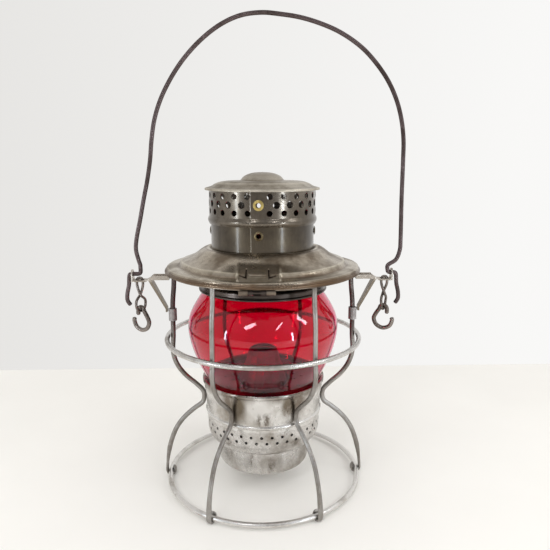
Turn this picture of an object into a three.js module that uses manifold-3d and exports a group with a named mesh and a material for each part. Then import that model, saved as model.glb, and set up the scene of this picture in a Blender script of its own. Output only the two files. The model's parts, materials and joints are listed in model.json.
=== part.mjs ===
// A railroad hand lantern: wire guard, tinned housing with a drop-out fount, red globe,
// hinged lid with a perforated chimney, and a wire bail that swings in two ears.
// Millimetres, +Z up. The origin is under the middle of the base ring, on the table.
// The front of the lantern faces -Y, and the bail stands in the X-Z plane.

import * as THREE from 'three';
import { mergeVertices } from 'three/addons/utils/BufferGeometryUtils.js';
import Module from 'manifold-3d';

const wasm = await Module();
wasm.setup();

// Clearances
const SEAT = 0.3;              // between two pieces that touch on the real lantern
const PLAY = 0.6;              // between two pieces that turn or slide past each other
const OVERRUN = 2;             // how far a cutting tool runs past the wall that it cuts

// Stock
const SHEET = 0.9;             // tinned sheet of housing, lid and frame ring
const STRAP = 1.2;             // heavier strip of ears, hinge and latch
const GUARD_WIRE = 4;          // diameter of the guard wires, base ring and hoop
const BAIL_WIRE = 3.4;
const LINK_WIRE = 2.2;
const HOOK_WIRE = 3.5;
const GLASS = 2.6;

// Guard frame
const BASE_RADIUS = 80;        // centreline of the base ring
const HOOP_STAND = 3.5;        // centreline of the hoop outside the frame ring
const HOOP_HEIGHT = 125.3;
const FOOT_STRAP = 2.4;        // guard wires are swaged flat where they wrap the base ring
const FOOT_WIDTH = 5.2;
const FOOT_WEAR = 0.4;         // worn flat under each foot, which the lantern stands on
const WAIST_HEIGHT = 72.3;     // where the guard wires touch the housing
const WIRE_COUNT = 6;

// Housing
const HOUSING_TOP = 91.8;
const HOUSING_RIM_RADIUS = 50.7;
const HOUSING_RADIUS = 47.6;   // at the waist
const RIM_BEAD = 4.2;          // height of the rolled rim
const HOUSING_BEAD_HEIGHT = 64.3;
const HOUSING_BEAD = 1;        // how far the lower bead stands out
const HOUSING_BOTTOM = 60.5;
const BAND_RADIUS = 46.9;
const BAND_BOTTOM = 38.3;
const BAND_MOUTH = 38.9;       // radius of the opening that the fount goes through
const AIR_HOLE = 2.3;
const AIR_HOLES = 36;
const AIR_ROW_HEIGHT = 53.5;
const AIR_ROW_STEP = 4.8;

// Globe
const GLOBE_HEIGHT = 82.5;     // a 3 1/4 inch globe
const GLOBE_RADIUS = 61.2;
const GLOBE_FOOT_RADIUS = 46.6;
const GLOBE_BOTTOM = 87.8;

// Top frame ring and lid
const FRAME_RING_RISE = 11.7;  // ring's top above the globe's mouth
const FRAME_RING_DEPTH = 2.8;
const CAGE_ROOM = 13.8;        // from the globe to the frame ring's edge
const FRAME_RING_WIDTH = 7;
const LID_OVERHANG = 3;        // lid's edge beyond the frame ring
const LID_LAP = 1.3;           // lid's rim hangs this far over the ring
const LID_RIM = 2.2;           // height of the turned-down rim
const BRIM_WIDTH = 12;         // from the lid's edge to the step of the cone
const HOOD_NECK_RADIUS = 45.5;
const HOOD_RISE = 18.2;
const COLLAR_RADIUS = 40.9;
const COLLAR_RISE = 23.7;      // collar's top above the hood
const VENT_BEAD = 1.1;
const VENT_BEAD_HEIGHT = 4;
const VENT_ROWS = 3;
const VENT_HOLES = 24;
const VENT_ROW_RISE = 12.3;    // the middle row above the collar's top
const VENT_ROW_STEP = 6.1;
const VENT_EDGE = 4.5;         // plain sheet above the top row
const VENT_HOLE = 4.1;         // outer rows
const VENT_HOLE_MIDDLE = 5.2;
const EYELET_RADIUS = 4;
const EYELET_BORE = 1.5;
const EYELET_PROUD = 0.9;
const SEAM_ANGLE = -6.2;       // degrees from the front, where the band's ends lap
const COLLAR_EYELET_DROP = 10.2;// below the collar's top
const COLLAR_EYELET_RADIUS = 3.1;
const CAP_RADIUS = 45.2;
const CAP_EDGE = 1.5;
const CAP_RISE = 6.1;          // crown above the vent band
const DOME_RADIUS = 17.1;
const DOME_RISE = 6.5;
const HOLDER_RIM_RADIUS = 51.6;
const HOLDER_REACH = 5;        // below the globe's mouth

// Lid hinge (front) and latch (back)
const HINGE_STAND = 2.6;       // pin's distance in front of the frame ring
const HINGE_CENTRE = -4.5;     // the hinge sits a little to the left
const HINGE_LUG = 11.6;        // over the frame's two knuckles
const HINGE_KNUCKLE = 3;       // width of each of them
const HINGE_STRAP = 6.3;       // width of each strap's knuckle
const HINGE_BARREL = 1.6;
const HINGE_PIN = 0.8;
const LATCH_WIDTH = 10;
const LATCH_BARREL = 2.1;
const LATCH_PIN = 1;
const LATCH_OUT = 3.9;         // pin's distance from the lid's rim
const LATCH_RISE = 8.8;        // pin above the keeper
const LATCH_TAIL = 2.1;        // below the nose
const LATCH_NOSE = 1.5;
const KEEPER_DROP = 5.1;       // below the lid's rim

// Ears and bail
const EAR_DROP = 7.8;          // top of the arm's floor below the ring's top
const EAR_WIDTH = 11;
const EAR_FLANGE = 2;          // flanges above the floor
const EAR_TAB = 1;             // thickness of the tab against the frame ring
const ARM_LENGTH = 17.9;       // from the tab to the neck
const NECK_DROP = 1.6;         // the neck is joggled down under the bail
const NECK_WIDTH = 9.2;
const NECK_LENGTH = 10.4;      // from there to the upright end plate
const PIVOT_RISE = 3.1;        // bail's axis above the arm's floor
const EYE_RADIUS = 3.7;
const EAR_SLOT = 4;
const STRUT_TOP_WIDTH = 10;
const STRUT_LOW_WIDTH = 5;
const CLIP_HEIGHT = 10;
const CLIP_RISE = 13;          // above the hoop
const BAIL_LOOP = 197.7;       // centreline at the crown above the pivot
const BAIL_BULGE = 6.4;        // widest point of the legs beyond the end plate
const BAIL_HOOK_DROP = 26;     // how far the ends reach below the pivot

// Links and hooks
const LINK_IN = 5;             // the link's middle inside the end plate
const LINK_TOP_SPREAD = 4.5;   // between the two strands in the ear
const LINK_LOW_SPREAD = 11;
const LINK_LENGTH = 27.5;      // top wire to bottom wire
const LINK_TWIST = 60;         // degrees the lower loop turns out of the front plane
const HOOK_WIDTH = 15.6;
const HOOK_DROP = 16.3;

// Fount and burner
const FOUNT_RADIUS = 37.6;
const FOUNT_BOTTOM = 18.2;
const FOUNT_TOP = 58.9;
const NECK_RADIUS = 12;
const NECK_HEIGHT = 7;
const LUG_REACH = 2.6;
const LUG_HALF_ANGLE = 7;
const LUG_COUNT = 3;
const LUG_THICK = 1.2;
const BAYONET_TURN = 30;
const FILLER_RADIUS = 8;
const FILLER_OUT = 25;
const FILLER_HEIGHT = 3.2;
const BURNER_RADIUS = 20.6;
const GALLERY_HEIGHT = 15;
const GALLERY_HOLE = 3.2;
const GALLERY_HOLES = 12;
const DOME_HEIGHT = 33.5;      // burner dome over the gallery
const FLAME_SLOT = 18.5;
const WICK_WIDTH = 15.8;
const WICK_THICK = 2.2;
const WICK_TOP = 112;
const WICK_BOTTOM = 26;
const TUBE_WALL = 0.6;
const SPINDLE_RADIUS = 1.2;
const SPINDLE_HEIGHT = 7.4;    // above the burner plate
const SPUR_RADIUS = 2.6;
const KNOB_RADIUS = 7;
const KNOB_OUT = 33;
const KNOB_THICK = 2.4;

// Facets
const ROUND = 24;              // sides of the large turned pieces
const RING_SIDES = 36;         // steps round the wire rings, in line with the guard wires
const HIDDEN = 16;             // sides of the turned pieces that the housing and lid hide
const WIRE_SIDES = 6;

// Heights and distances that follow the globe and the frame ring
const globeTop = GLOBE_BOTTOM + GLOBE_HEIGHT;
const frameRingTop = globeTop + FRAME_RING_RISE;
const frameRingRadius = GLOBE_RADIUS + CAGE_ROOM;
const lidRadius = frameRingRadius + LID_OVERHANG;
const lidBottom = frameRingTop - LID_LAP;
const hoodStepRadius = lidRadius - BRIM_WIDTH;
const hoodTop = lidBottom + HOOD_RISE;
const chimneySeam = hoodTop + COLLAR_RISE;
const collarEyeletHeight = chimneySeam - COLLAR_EYELET_DROP;
const holderBottom = globeTop - HOLDER_REACH;
const hingeOut = frameRingRadius + HINGE_STAND;
const earFloor = frameRingTop - EAR_DROP;
const earRoot = frameRingRadius + SEAT + EAR_TAB;
const neckStart = earRoot + ARM_LENGTH;
const plateInner = neckStart + NECK_LENGTH;
const pivotHeight = earFloor + PIVOT_RISE;
const hoopRadius = frameRingRadius + HOOP_STAND;
const clipBottom = HOOP_HEIGHT + CLIP_RISE;
const bailTop = pivotHeight + BAIL_LOOP;
const bailSpan = plateInner + BAIL_BULGE;
const linkOut = plateInner - LINK_IN;

const group = new THREE.Group();

const finish = {
  frameTin: { color: '#a8a49c', roughness: 0.38, metalness: 0.9 },
  darkWire: { color: '#4c4142', roughness: 0.5, metalness: 0.7 },
  hoodTin: { color: '#7a7263', roughness: 0.5, metalness: 0.8 },
  chimneyTin: { color: '#5e574d', roughness: 0.38, metalness: 0.85 },
  blued: { color: '#37332f', roughness: 0.4, metalness: 0.8 },
  brass: { color: '#8f7637', roughness: 0.35, metalness: 0.9 },
  glass: { color: '#c4041c', roughness: 0.06, metalness: 0, transparent: true, opacity: 0.6 },
  cotton: { color: '#b9ad92', roughness: 0.95, metalness: 0 },
  cork: { color: '#6d5136', roughness: 0.9, metalness: 0 },
};

// Makes one closed body of a geometry: shared corners joined, flat triangles dropped, faces out.
function closed(geometry) {
  const bare = geometry.clone();
  bare.deleteAttribute('normal');
  bare.deleteAttribute('uv');
  const merged = mergeVertices(bare, 1e-4);
  const from = merged.index.array;
  const at = merged.attributes.position;
  const kept = [];
  let volume = 0;
  const a = new THREE.Vector3();
  const b = new THREE.Vector3();
  const c = new THREE.Vector3();
  for (let i = 0; i < from.length; i += 3) {
    const [p, q, r] = [from[i], from[i + 1], from[i + 2]];
    if (p === q || q === r || r === p) continue;
    kept.push(p, q, r);
    a.fromBufferAttribute(at, p);
    b.fromBufferAttribute(at, q);
    c.fromBufferAttribute(at, r);
    volume += a.dot(b.cross(c));
  }
  if (volume < 0) {
    for (let i = 0; i < kept.length; i += 3) [kept[i], kept[i + 1]] = [kept[i + 1], kept[i]];
  }
  merged.setIndex(kept);
  return merged;
}

function solid(geometry) {
  const body = closed(geometry);
  return new wasm.Manifold(new wasm.Mesh({
    numProp: 3,
    vertProperties: new Float32Array(body.attributes.position.array),
    triVerts: new Uint32Array(body.index.array),
  }));
}

function geometryOf(manifold) {
  const mesh = manifold.getMesh();
  const corners = new Float32Array(mesh.numVert * 3);
  for (let i = 0; i < mesh.numVert; i++) {
    for (let k = 0; k < 3; k++) corners[i * 3 + k] = mesh.vertProperties[i * mesh.numProp + k];
  }
  const geometry = new THREE.BufferGeometry();
  geometry.setAttribute('position', new THREE.BufferAttribute(corners, 3));
  geometry.setIndex(Array.from(mesh.triVerts));
  return geometry;
}

function join(...geometries) {
  return geometryOf(geometries.map(solid).reduce((all, next) => all.add(next)));
}

function cut(geometry, ...tools) {
  return geometryOf(tools.map(solid).reduce((left, tool) => left.subtract(tool), solid(geometry)));
}

function overlapOf(first, second) {
  return geometryOf(solid(first).intersect(solid(second)));
}

function add(name, geometry, look) {
  const body = closed(geometry);
  body.computeVertexNormals();
  const mesh = new THREE.Mesh(body, new THREE.MeshStandardMaterial(finish[look]));
  mesh.name = name;
  group.add(mesh);
  return mesh;
}

const radians = THREE.MathUtils.degToRad;

// A turned piece. The profile is a list of [radius, height] that ends on the axis or closes.
function turned(profile, sides = ROUND) {
  const points = profile.map(([r, z]) => new THREE.Vector2(r, z));
  return new THREE.LatheGeometry(points, sides).rotateX(Math.PI / 2);
}

// The closed profile of spun sheet: the outer line given, and the same line set in by the sheet.
function sheetProfile(outer, thickness = SHEET) {
  const inner = outer.map((point, i) => {
    const before = outer[Math.max(i - 1, 0)];
    const after = outer[Math.min(i + 1, outer.length - 1)];
    const back = new THREE.Vector2(point[0] - before[0], point[1] - before[1]);
    const ahead = new THREE.Vector2(after[0] - point[0], after[1] - point[1]);
    if (i === 0) back.copy(ahead);
    if (i === outer.length - 1) ahead.copy(back);
    const along = back.normalize().add(ahead.normalize()).normalize();
    const reach = thickness / Math.max(along.dot(ahead), 0.6);
    return [Math.max(point[0] - along.y * reach, 0), point[1] + along.x * reach];
  });
  return [...outer, ...inner.reverse(), outer[0]];
}

function box(x0, x1, y0, y1, z0, z1) {
  return new THREE.BoxGeometry(x1 - x0, y1 - y0, z1 - z0)
    .translate((x0 + x1) / 2, (y0 + y1) / 2, (z0 + z1) / 2);
}

// A round bar along X, Y or Z, from one place to another on that axis.
function bar(axis, from, to, radius, sides = 12) {
  const geometry = new THREE.CylinderGeometry(radius, radius, to - from, sides);
  geometry.translate(0, (from + to) / 2, 0);
  if (axis === 'x') geometry.rotateZ(-Math.PI / 2);
  if (axis === 'z') geometry.rotateX(Math.PI / 2);
  return geometry;
}

// An outline in X-Z, drawn out along Y about the middle plane.
function slab(outline, width) {
  const shape = new THREE.Shape(outline.map(([x, z]) => new THREE.Vector2(x, z)));
  return new THREE.ExtrudeGeometry(shape, { depth: width, bevelEnabled: false, steps: 1 })
    .rotateX(Math.PI / 2).translate(0, width / 2, 0);
}

// An outline in X-Y, drawn out upwards from a height.
function plate(outline, from, to) {
  const shape = new THREE.Shape(outline.map(([x, y]) => new THREE.Vector2(x, y)));
  return new THREE.ExtrudeGeometry(shape, { depth: to - from, bevelEnabled: false, steps: 1 })
    .translate(0, 0, from);
}

// Wire drawn along a curve in space that closes on itself.
function loopWire(curve, steps, diameter, sides) {
  const frames = curve.computeFrenetFrames(steps, true);
  const corners = [];
  for (let i = 0; i < steps; i++) {
    const centre = curve.getPointAt(i / steps);
    for (let k = 0; k < sides; k++) {
      const turn = (k + 0.5) / sides * Math.PI * 2;
      const corner = centre.clone()
        .addScaledVector(frames.normals[i], Math.cos(turn) * diameter / 2)
        .addScaledVector(frames.binormals[i], Math.sin(turn) * diameter / 2);
      corners.push(corner.x, corner.y, corner.z);
    }
  }
  return tube(corners, steps, sides, true);
}

// Wire bent in the X-Z plane, with its rings close together in tight bends and far apart in
// long ones. sizeAt gives the half-width along Y and the half-thickness in the plane.
function bentWire(curve, sizeAt, sharpest = radians(14)) {
  const sides = WIRE_SIDES;
  const fine = 900;
  const longest = fine / 16;
  curve.arcLengthDivisions = fine * 2;
  const places = [0];
  for (let i = 1; i < fine; i++) {
    const last = places.at(-1);
    const turned = curve.getTangentAt(i / fine).angleTo(curve.getTangentAt(last));
    if (turned > sharpest || i - last * fine > longest) places.push(i / fine);
  }
  places.push(1);
  const corners = [];
  for (const place of places) {
    const centre = curve.getPointAt(place);
    const along = curve.getTangentAt(place);
    const [wide, thick] = sizeAt(place, centre);
    for (let k = 0; k < sides; k++) {
      const turn = (k + 0.5) / sides * Math.PI * 2;
      const out = Math.cos(turn) * thick;
      corners.push(centre.x - along.z * out, Math.sin(turn) * wide, centre.z + along.x * out);
    }
  }
  return tube(corners, places.length, sides, false);
}

// Joins rings of corners into a tube, with flat ends unless it closes on itself.
function tube(corners, rings, sides, loop) {
  const faces = [];
  for (let i = 0; i < (loop ? rings : rings - 1); i++) {
    const here = i * sides;
    const next = ((i + 1) % rings) * sides;
    for (let k = 0; k < sides; k++) {
      const side = (k + 1) % sides;
      faces.push(here + k, next + k, next + side, here + k, next + side, here + side);
    }
  }
  const last = (rings - 1) * sides;
  for (let k = 1; k < sides - 1 && !loop; k++) {
    faces.push(0, k, k + 1);
    faces.push(last, last + k + 1, last + k);
  }
  const geometry = new THREE.BufferGeometry();
  geometry.setAttribute('position', new THREE.BufferAttribute(new Float32Array(corners), 3));
  geometry.setIndex(faces);
  return geometry;
}

const roundWire = (diameter) => () => [diameter / 2, diameter / 2];

// A ring of round wire about the axis, its corners lined up with the guard wires.
function wireRing(radius, height, diameter) {
  const half = diameter / 2;
  const profile = [];
  for (let k = 0; k <= WIRE_SIDES; k++) {
    const turn = (k + 0.5) / WIRE_SIDES * Math.PI * 2;
    profile.push([radius + half * Math.cos(turn), height + half * Math.sin(turn)]);
  }
  profile[WIRE_SIDES] = profile[0];
  return turned(profile, RING_SIDES);
}

const mixed = (from, to, share) => from + (to - from) * share;

// Guard frame
const wireHalf = GUARD_WIRE / 2;
const footHalf = FOOT_STRAP / 2;
const wrapRadius = wireHalf + SEAT + footHalf;
const baseHeight = wrapRadius + footHalf - FOOT_WEAR;
const waistRadius = HOUSING_RADIUS + SEAT + wireHalf;
const wireAtHoop = hoopRadius - GUARD_WIRE - SEAT;
const wireTopRadius = frameRingRadius - SHEET - SEAT - wireHalf;
const wireTop = frameRingTop - SHEET - SEAT;

// Shares of the way from the waist out to the hoop, and up from the waist to the hoop.
const upperShares = [[1.03, 0.76], [0.98, 0.62], [0.84, 0.475], [0.6, 0.335], [0.27, 0.2], [0.05, 0.09]];
// Shares of the way from the waist out to the foot, and down from the waist to the base ring.
const lowerShares = [[0.045, 0.085], [0.25, 0.165], [0.51, 0.28], [0.72, 0.42], [0.862, 0.59],
  [0.955, 0.78]];

function guardWireCurve() {
  const points = [[wireTopRadius, wireTop], [mixed(wireTopRadius, wireAtHoop, 0.25), mixed(wireTop, HOOP_HEIGHT, 0.25)],
    [mixed(wireTopRadius, wireAtHoop, 0.8), mixed(wireTop, HOOP_HEIGHT, 0.5)],
    [mixed(wireTopRadius, wireAtHoop, 1), HOOP_HEIGHT]];
  for (const [out, up] of upperShares) {
    points.push([mixed(waistRadius, wireAtHoop, out), mixed(WAIST_HEIGHT, HOOP_HEIGHT, up)]);
  }
  points.push([waistRadius, WAIST_HEIGHT]);
  const footRadius = BASE_RADIUS + wrapRadius;
  for (const [out, down] of lowerShares) {
    points.push([mixed(waistRadius, footRadius, out), mixed(WAIST_HEIGHT, baseHeight, down)]);
  }
  const wrapStep = 22;
  const wrapTurns = 10;
  for (let k = 0; k <= wrapTurns; k++) {
    const turn = radians(-k * wrapStep);
    points.push([BASE_RADIUS + wrapRadius * Math.cos(turn), baseHeight + wrapRadius * Math.sin(turn)]);
  }
  return new THREE.CatmullRomCurve3(points.map(([r, z]) => new THREE.Vector3(r, 0, z)));
}

function guardWire() {
  const flatFrom = baseHeight + GUARD_WIRE * 2;
  const roundFrom = flatFrom + GUARD_WIRE * 3;
  const size = (along, centre) => {
    const flat = THREE.MathUtils.clamp((roundFrom - centre.z) / (roundFrom - flatFrom), 0, 1);
    return [mixed(wireHalf, FOOT_WIDTH / 2, flat), mixed(wireHalf, footHalf, flat)];
  };
  const curve = guardWireCurve();
  const whole = bentWire(curve, size);
  const under = box(0, BASE_RADIUS * 2, -FOOT_WIDTH, FOOT_WIDTH, -GUARD_WIRE * 2, 0);
  return cut(whole, under);
}

const wireNames = ['right', 'back_right', 'back_left', 'left', 'front_left', 'front_right'];
const oneWire = guardWire();
for (let i = 0; i < WIRE_COUNT; i++) {
  add(`guard_wire_${wireNames[i]}`, oneWire, 'frameTin').rotation.z = i * Math.PI * 2 / WIRE_COUNT;
}
add('base_ring', wireRing(BASE_RADIUS, baseHeight, GUARD_WIRE), 'frameTin');
add('guard_hoop', wireRing(hoopRadius, HOOP_HEIGHT, GUARD_WIRE), 'frameTin');

function topFrameRing() {
  const bottom = frameRingTop - FRAME_RING_DEPTH;
  const inner = frameRingRadius - FRAME_RING_WIDTH;
  return turned([[frameRingRadius, bottom], [frameRingRadius, frameRingTop], [inner, frameRingTop],
    [inner, frameRingTop - SHEET], [frameRingRadius - SHEET, frameRingTop - SHEET],
    [frameRingRadius - SHEET, bottom], [frameRingRadius, bottom]]);
}
add('top_frame_ring', topFrameRing(), 'frameTin');

// Ears: a channel arm, a joggled neck, an upright end plate and a slanting strut
const neckFloor = earFloor - NECK_DROP;
const plateOuter = plateInner + STRAP;
const bailHalf = BAIL_WIRE / 2;
const linkHalf = LINK_WIRE / 2;

function ear() {
  const armBottom = earFloor - STRAP;
  const neckBottom = neckFloor - STRAP;
  const rootInner = frameRingRadius + SEAT;
  const rootTop = lidBottom - SEAT;
  const armSide = EAR_WIDTH / 2;
  const neckSide = NECK_WIDTH / 2;
  const joggle = neckStart - NECK_DROP * 2;
  const strip = slab([[rootInner, armBottom], [joggle, armBottom], [neckStart, neckBottom],
    [plateOuter, neckBottom], [plateOuter, pivotHeight], [plateInner, pivotHeight],
    [plateInner, neckFloor], [neckStart, neckFloor], [joggle, earFloor], [earRoot, earFloor],
    [earRoot, rootTop], [rootInner, rootTop]], EAR_WIDTH);
  const outline = plate([[rootInner - OVERRUN, -armSide], [joggle, -armSide], [neckStart, -neckSide],
    [plateInner - STRAP, -neckSide], [plateOuter + SEAT, -EYE_RADIUS], [plateOuter + SEAT, EYE_RADIUS],
    [plateInner - STRAP, neckSide], [neckStart, neckSide], [joggle, armSide],
    [rootInner - OVERRUN, armSide]], neckBottom - OVERRUN, rootTop + OVERRUN);
  const flange = slab([[earRoot - SEAT, armBottom], [joggle, armBottom], [joggle, earFloor + SEAT],
    [joggle - EAR_FLANGE, earFloor + EAR_FLANGE], [earRoot - SEAT, earFloor + EAR_FLANGE]], STRAP);
  const eye = bar('x', plateInner, plateOuter, EYE_RADIUS, HIDDEN).translate(0, 0, pivotHeight);
  const strutTop = [joggle, armBottom];
  const strutFoot = [wireAtHoop + wireHalf + SEAT * 4 + STRAP, clipBottom + CLIP_HEIGHT];
  const strutLean = STRAP * 1.2;
  const strutSide = slab([[strutFoot[0] - strutLean / 2, strutFoot[1] - STRUT_LOW_WIDTH / 2],
    [strutFoot[0] + strutLean / 2, strutFoot[1] - STRUT_LOW_WIDTH / 2],
    [strutFoot[0] + strutLean / 2, strutFoot[1]], [strutTop[0] + strutLean, strutTop[1] + STRAP / 3],
    [strutTop[0] - strutLean / 2, strutTop[1] + STRAP / 3],
    [strutFoot[0] - strutLean / 2, strutFoot[1] + STRAP]], EAR_WIDTH);
  const strutFront = new THREE.Shape([[-STRUT_LOW_WIDTH / 2, strutFoot[1] - STRUT_LOW_WIDTH],
    [STRUT_LOW_WIDTH / 2, strutFoot[1] - STRUT_LOW_WIDTH], [STRUT_LOW_WIDTH / 2, strutFoot[1]],
    [STRUT_TOP_WIDTH / 2, armBottom + STRAP], [-STRUT_TOP_WIDTH / 2, armBottom + STRAP],
    [-STRUT_LOW_WIDTH / 2, strutFoot[1]]].map(([y, z]) => new THREE.Vector2(y, z)));
  const taper = new THREE.ExtrudeGeometry(strutFront, { depth: joggle - strutFoot[0] + EAR_WIDTH, bevelEnabled: false })
    .rotateX(Math.PI / 2).rotateZ(Math.PI / 2).translate(strutFoot[0] - OVERRUN, 0, 0);
  const body = join(overlapOf(strip, outline), eye, overlapOf(strutSide, taper),
    flange.clone().translate(0, armSide - STRAP / 2, 0), flange.clone().translate(0, STRAP / 2 - armSide, 0));
  const strandHole = (x) => box(x - linkHalf - SEAT, x + linkHalf + SEAT, -neckSide + STRAP, neckSide - STRAP,
    neckBottom - OVERRUN, neckFloor + SEAT);
  const slot = box(earRoot + EAR_SLOT, joggle - STRAP * 2.5, -EAR_SLOT / 2, EAR_SLOT / 2,
    armBottom - OVERRUN, earFloor + SEAT);
  const bore = bar('x', plateInner - OVERRUN, plateOuter + OVERRUN, bailHalf + PLAY * 0.7, 12)
    .translate(0, 0, pivotHeight);
  return cut(body, strandHole(linkOut - LINK_TOP_SPREAD / 2), strandHole(linkOut + LINK_TOP_SPREAD / 2), slot, bore);
}

const oneEar = ear();
add('ear_right', oneEar, 'hoodTin');
add('ear_left', oneEar, 'hoodTin').rotation.z = Math.PI;

function strutClip() {
  const inner = wireHalf + SEAT + SHEET / 6;
  const outer = inner + SHEET;
  const middle = mixed(wireTopRadius, wireAtHoop, 0.93);
  return turned([[inner, clipBottom], [outer, clipBottom], [outer, clipBottom + CLIP_HEIGHT],
    [inner, clipBottom + CLIP_HEIGHT], [inner, clipBottom]], 16).translate(middle, 0, 0);
}
const oneClip = strutClip();
add('strut_clip_right', oneClip, 'hoodTin');
add('strut_clip_left', oneClip, 'hoodTin').rotation.z = Math.PI;

// Burner housing: spun shell with a rolled rim, then the perforated air band under it
function burnerHousing() {
  const rim = HOUSING_RIM_RADIUS;
  const neck = mixed(HOUSING_RADIUS, rim, 0.5);
  const bead = HOUSING_RADIUS + HOUSING_BEAD;
  const beadHalf = HOUSING_BEAD * 1.6;
  return turned(sheetProfile([[bead - SHEET, HOUSING_BOTTOM], [HOUSING_RADIUS, HOUSING_BEAD_HEIGHT - beadHalf],
    [bead, HOUSING_BEAD_HEIGHT], [HOUSING_RADIUS, HOUSING_BEAD_HEIGHT + beadHalf], [HOUSING_RADIUS, WAIST_HEIGHT],
    [neck - SHEET, HOUSING_TOP - RIM_BEAD * 2.6], [neck, HOUSING_TOP - RIM_BEAD * 1.5],
    [rim - SHEET / 2, HOUSING_TOP - RIM_BEAD], [rim, HOUSING_TOP - RIM_BEAD / 2], [rim - SHEET / 2, HOUSING_TOP]]));
}
add('burner_housing', burnerHousing(), 'frameTin');

// Round holes through a spun wall, in one row. Each is a short bar that points at the axis.
function holeRow(radius, height, diameter, count, { from = 0, skip = () => false, sides = 5 } = {}) {
  const holes = [];
  for (let i = 0; i < count; i++) {
    const turn = from + i * 360 / count;
    if (skip(turn)) continue;
    holes.push(bar('x', radius - OVERRUN * 2, radius + OVERRUN * 2, diameter / 2, sides)
      .translate(0, 0, height).rotateZ(radians(turn)));
  }
  return holes;
}

function airBand() {
  const low = BAND_BOTTOM;
  const top = HOUSING_BOTTOM - SEAT;
  const shell = turned(sheetProfile([[BAND_MOUTH, low], [mixed(BAND_MOUTH, BAND_RADIUS, 0.35), mixed(low, top, 0.05)],
    [mixed(BAND_MOUTH, BAND_RADIUS, 0.68), mixed(low, top, 0.17)], [mixed(BAND_MOUTH, BAND_RADIUS, 0.91), mixed(low, top, 0.34)],
    [BAND_RADIUS, top]]), AIR_HOLES)
    .rotateZ(Math.PI / AIR_HOLES);
  const step = 360 / AIR_HOLES;
  const upper = holeRow(BAND_RADIUS, AIR_ROW_HEIGHT + AIR_ROW_STEP / 2, AIR_HOLE, AIR_HOLES, { sides: 4 });
  const lower = holeRow(BAND_RADIUS, AIR_ROW_HEIGHT - AIR_ROW_STEP / 2, AIR_HOLE, AIR_HOLES, { from: step / 2, sides: 4 });
  const notch = LUG_REACH + PLAY;
  const notches = [];
  for (let i = 0; i < LUG_COUNT; i++) {
    const wide = BAND_MOUTH * 2 * Math.sin(radians(LUG_HALF_ANGLE + 2));
    notches.push(box(BAND_MOUTH - OVERRUN, BAND_MOUTH + notch, -wide / 2, wide / 2, low - OVERRUN, low + LUG_REACH * 1.4)
      .rotateZ(radians(i * 360 / LUG_COUNT - BAYONET_TURN)));
  }
  return cut(shell, ...upper, ...lower, ...notches);
}
add('air_band', airBand(), 'frameTin');

const seatHeight = GLOBE_BOTTOM - SEAT - SHEET;
function globeSeat() {
  const outer = mixed(HOUSING_RADIUS, HOUSING_RIM_RADIUS, 0.5) - SHEET - SEAT;
  const inner = BURNER_RADIUS + PLAY * 2;
  const lip = SHEET * 3;
  const disc = turned([[inner, seatHeight - lip], [inner + SHEET, seatHeight - lip], [inner + SHEET, seatHeight],
    [outer, seatHeight], [outer, seatHeight + SHEET], [inner, seatHeight + SHEET], [inner, seatHeight - lip]], HIDDEN);
  const holes = [];
  const seatHoles = 12;
  for (let i = 0; i < seatHoles; i++) {
    holes.push(bar('z', seatHeight - OVERRUN, seatHeight + OVERRUN, GALLERY_HOLE, 5)
      .translate(mixed(inner, outer, 0.5), 0, 0).rotateZ(i * Math.PI * 2 / seatHoles));
  }
  return cut(disc, ...holes);
}
add('globe_seat', globeSeat(), 'blued');

// Globe
function globe() {
  const top = globeTop;
  // Shares of the way from the foot's radius out to the belly, and of the globe's height.
  const outlineShares = [[0.02, 0], [0.2, 0.107], [0.5, 0.22], [0.83, 0.38], [1, 0.54], [0.93, 0.665],
    [0.74, 0.75], [0.44, 0.84], [0.13, 0.925], [0, 1]];
  const outer = outlineShares.map(([out, up]) => [mixed(GLOBE_FOOT_RADIUS, GLOBE_RADIUS, out), mixed(GLOBE_BOTTOM, top, up)]);
  return turned(sheetProfile(outer, GLASS), ROUND);
}
add('globe', globe(), 'glass');

// Lid
const lidInner = lidRadius - SHEET;
function lidHood() {
  const rimTop = lidBottom + LID_RIM;
  const brim = mixed(hoodStepRadius, lidRadius, 0.7);
  const brimTop = mixed(rimTop, hoodTop, 0.14);
  const stepLow = mixed(rimTop, hoodTop, 0.22);
  const stepHigh = mixed(rimTop, hoodTop, 0.36);
  return turned(sheetProfile([[lidRadius, lidBottom], [lidRadius, rimTop], [lidRadius - SHEET * 1.4, rimTop + SHEET * 0.6],
    [brim, brimTop], [hoodStepRadius, stepLow], [hoodStepRadius - SHEET * 2, stepHigh],
    [mixed(HOOD_NECK_RADIUS, hoodStepRadius, 0.6), mixed(rimTop, hoodTop, 0.64)],
    [mixed(HOOD_NECK_RADIUS, hoodStepRadius, 0.25), mixed(rimTop, hoodTop, 0.88)], [HOOD_NECK_RADIUS, hoodTop],
    [COLLAR_RADIUS + SEAT + SHEET * 1.5, hoodTop + SHEET / 2], [COLLAR_RADIUS + SEAT, hoodTop - SHEET]]));
}
add('lid_hood', lidHood(), 'hoodTin');

const front = -90;
function collar() {
  const wall = turned([[COLLAR_RADIUS - SHEET, hoodTop - SHEET * 4], [COLLAR_RADIUS, hoodTop - SHEET * 4],
    [COLLAR_RADIUS, chimneySeam], [COLLAR_RADIUS - SHEET, chimneySeam], [COLLAR_RADIUS - SHEET, hoodTop - SHEET * 4]]);
  const holes = holeRow(COLLAR_RADIUS, collarEyeletHeight, EYELET_BORE * 2 + SEAT * 4, 4, { from: front + SEAM_ANGLE, sides: 10 });
  return cut(wall, ...holes);
}
add('chimney_collar', collar(), 'chimneyTin');

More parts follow.
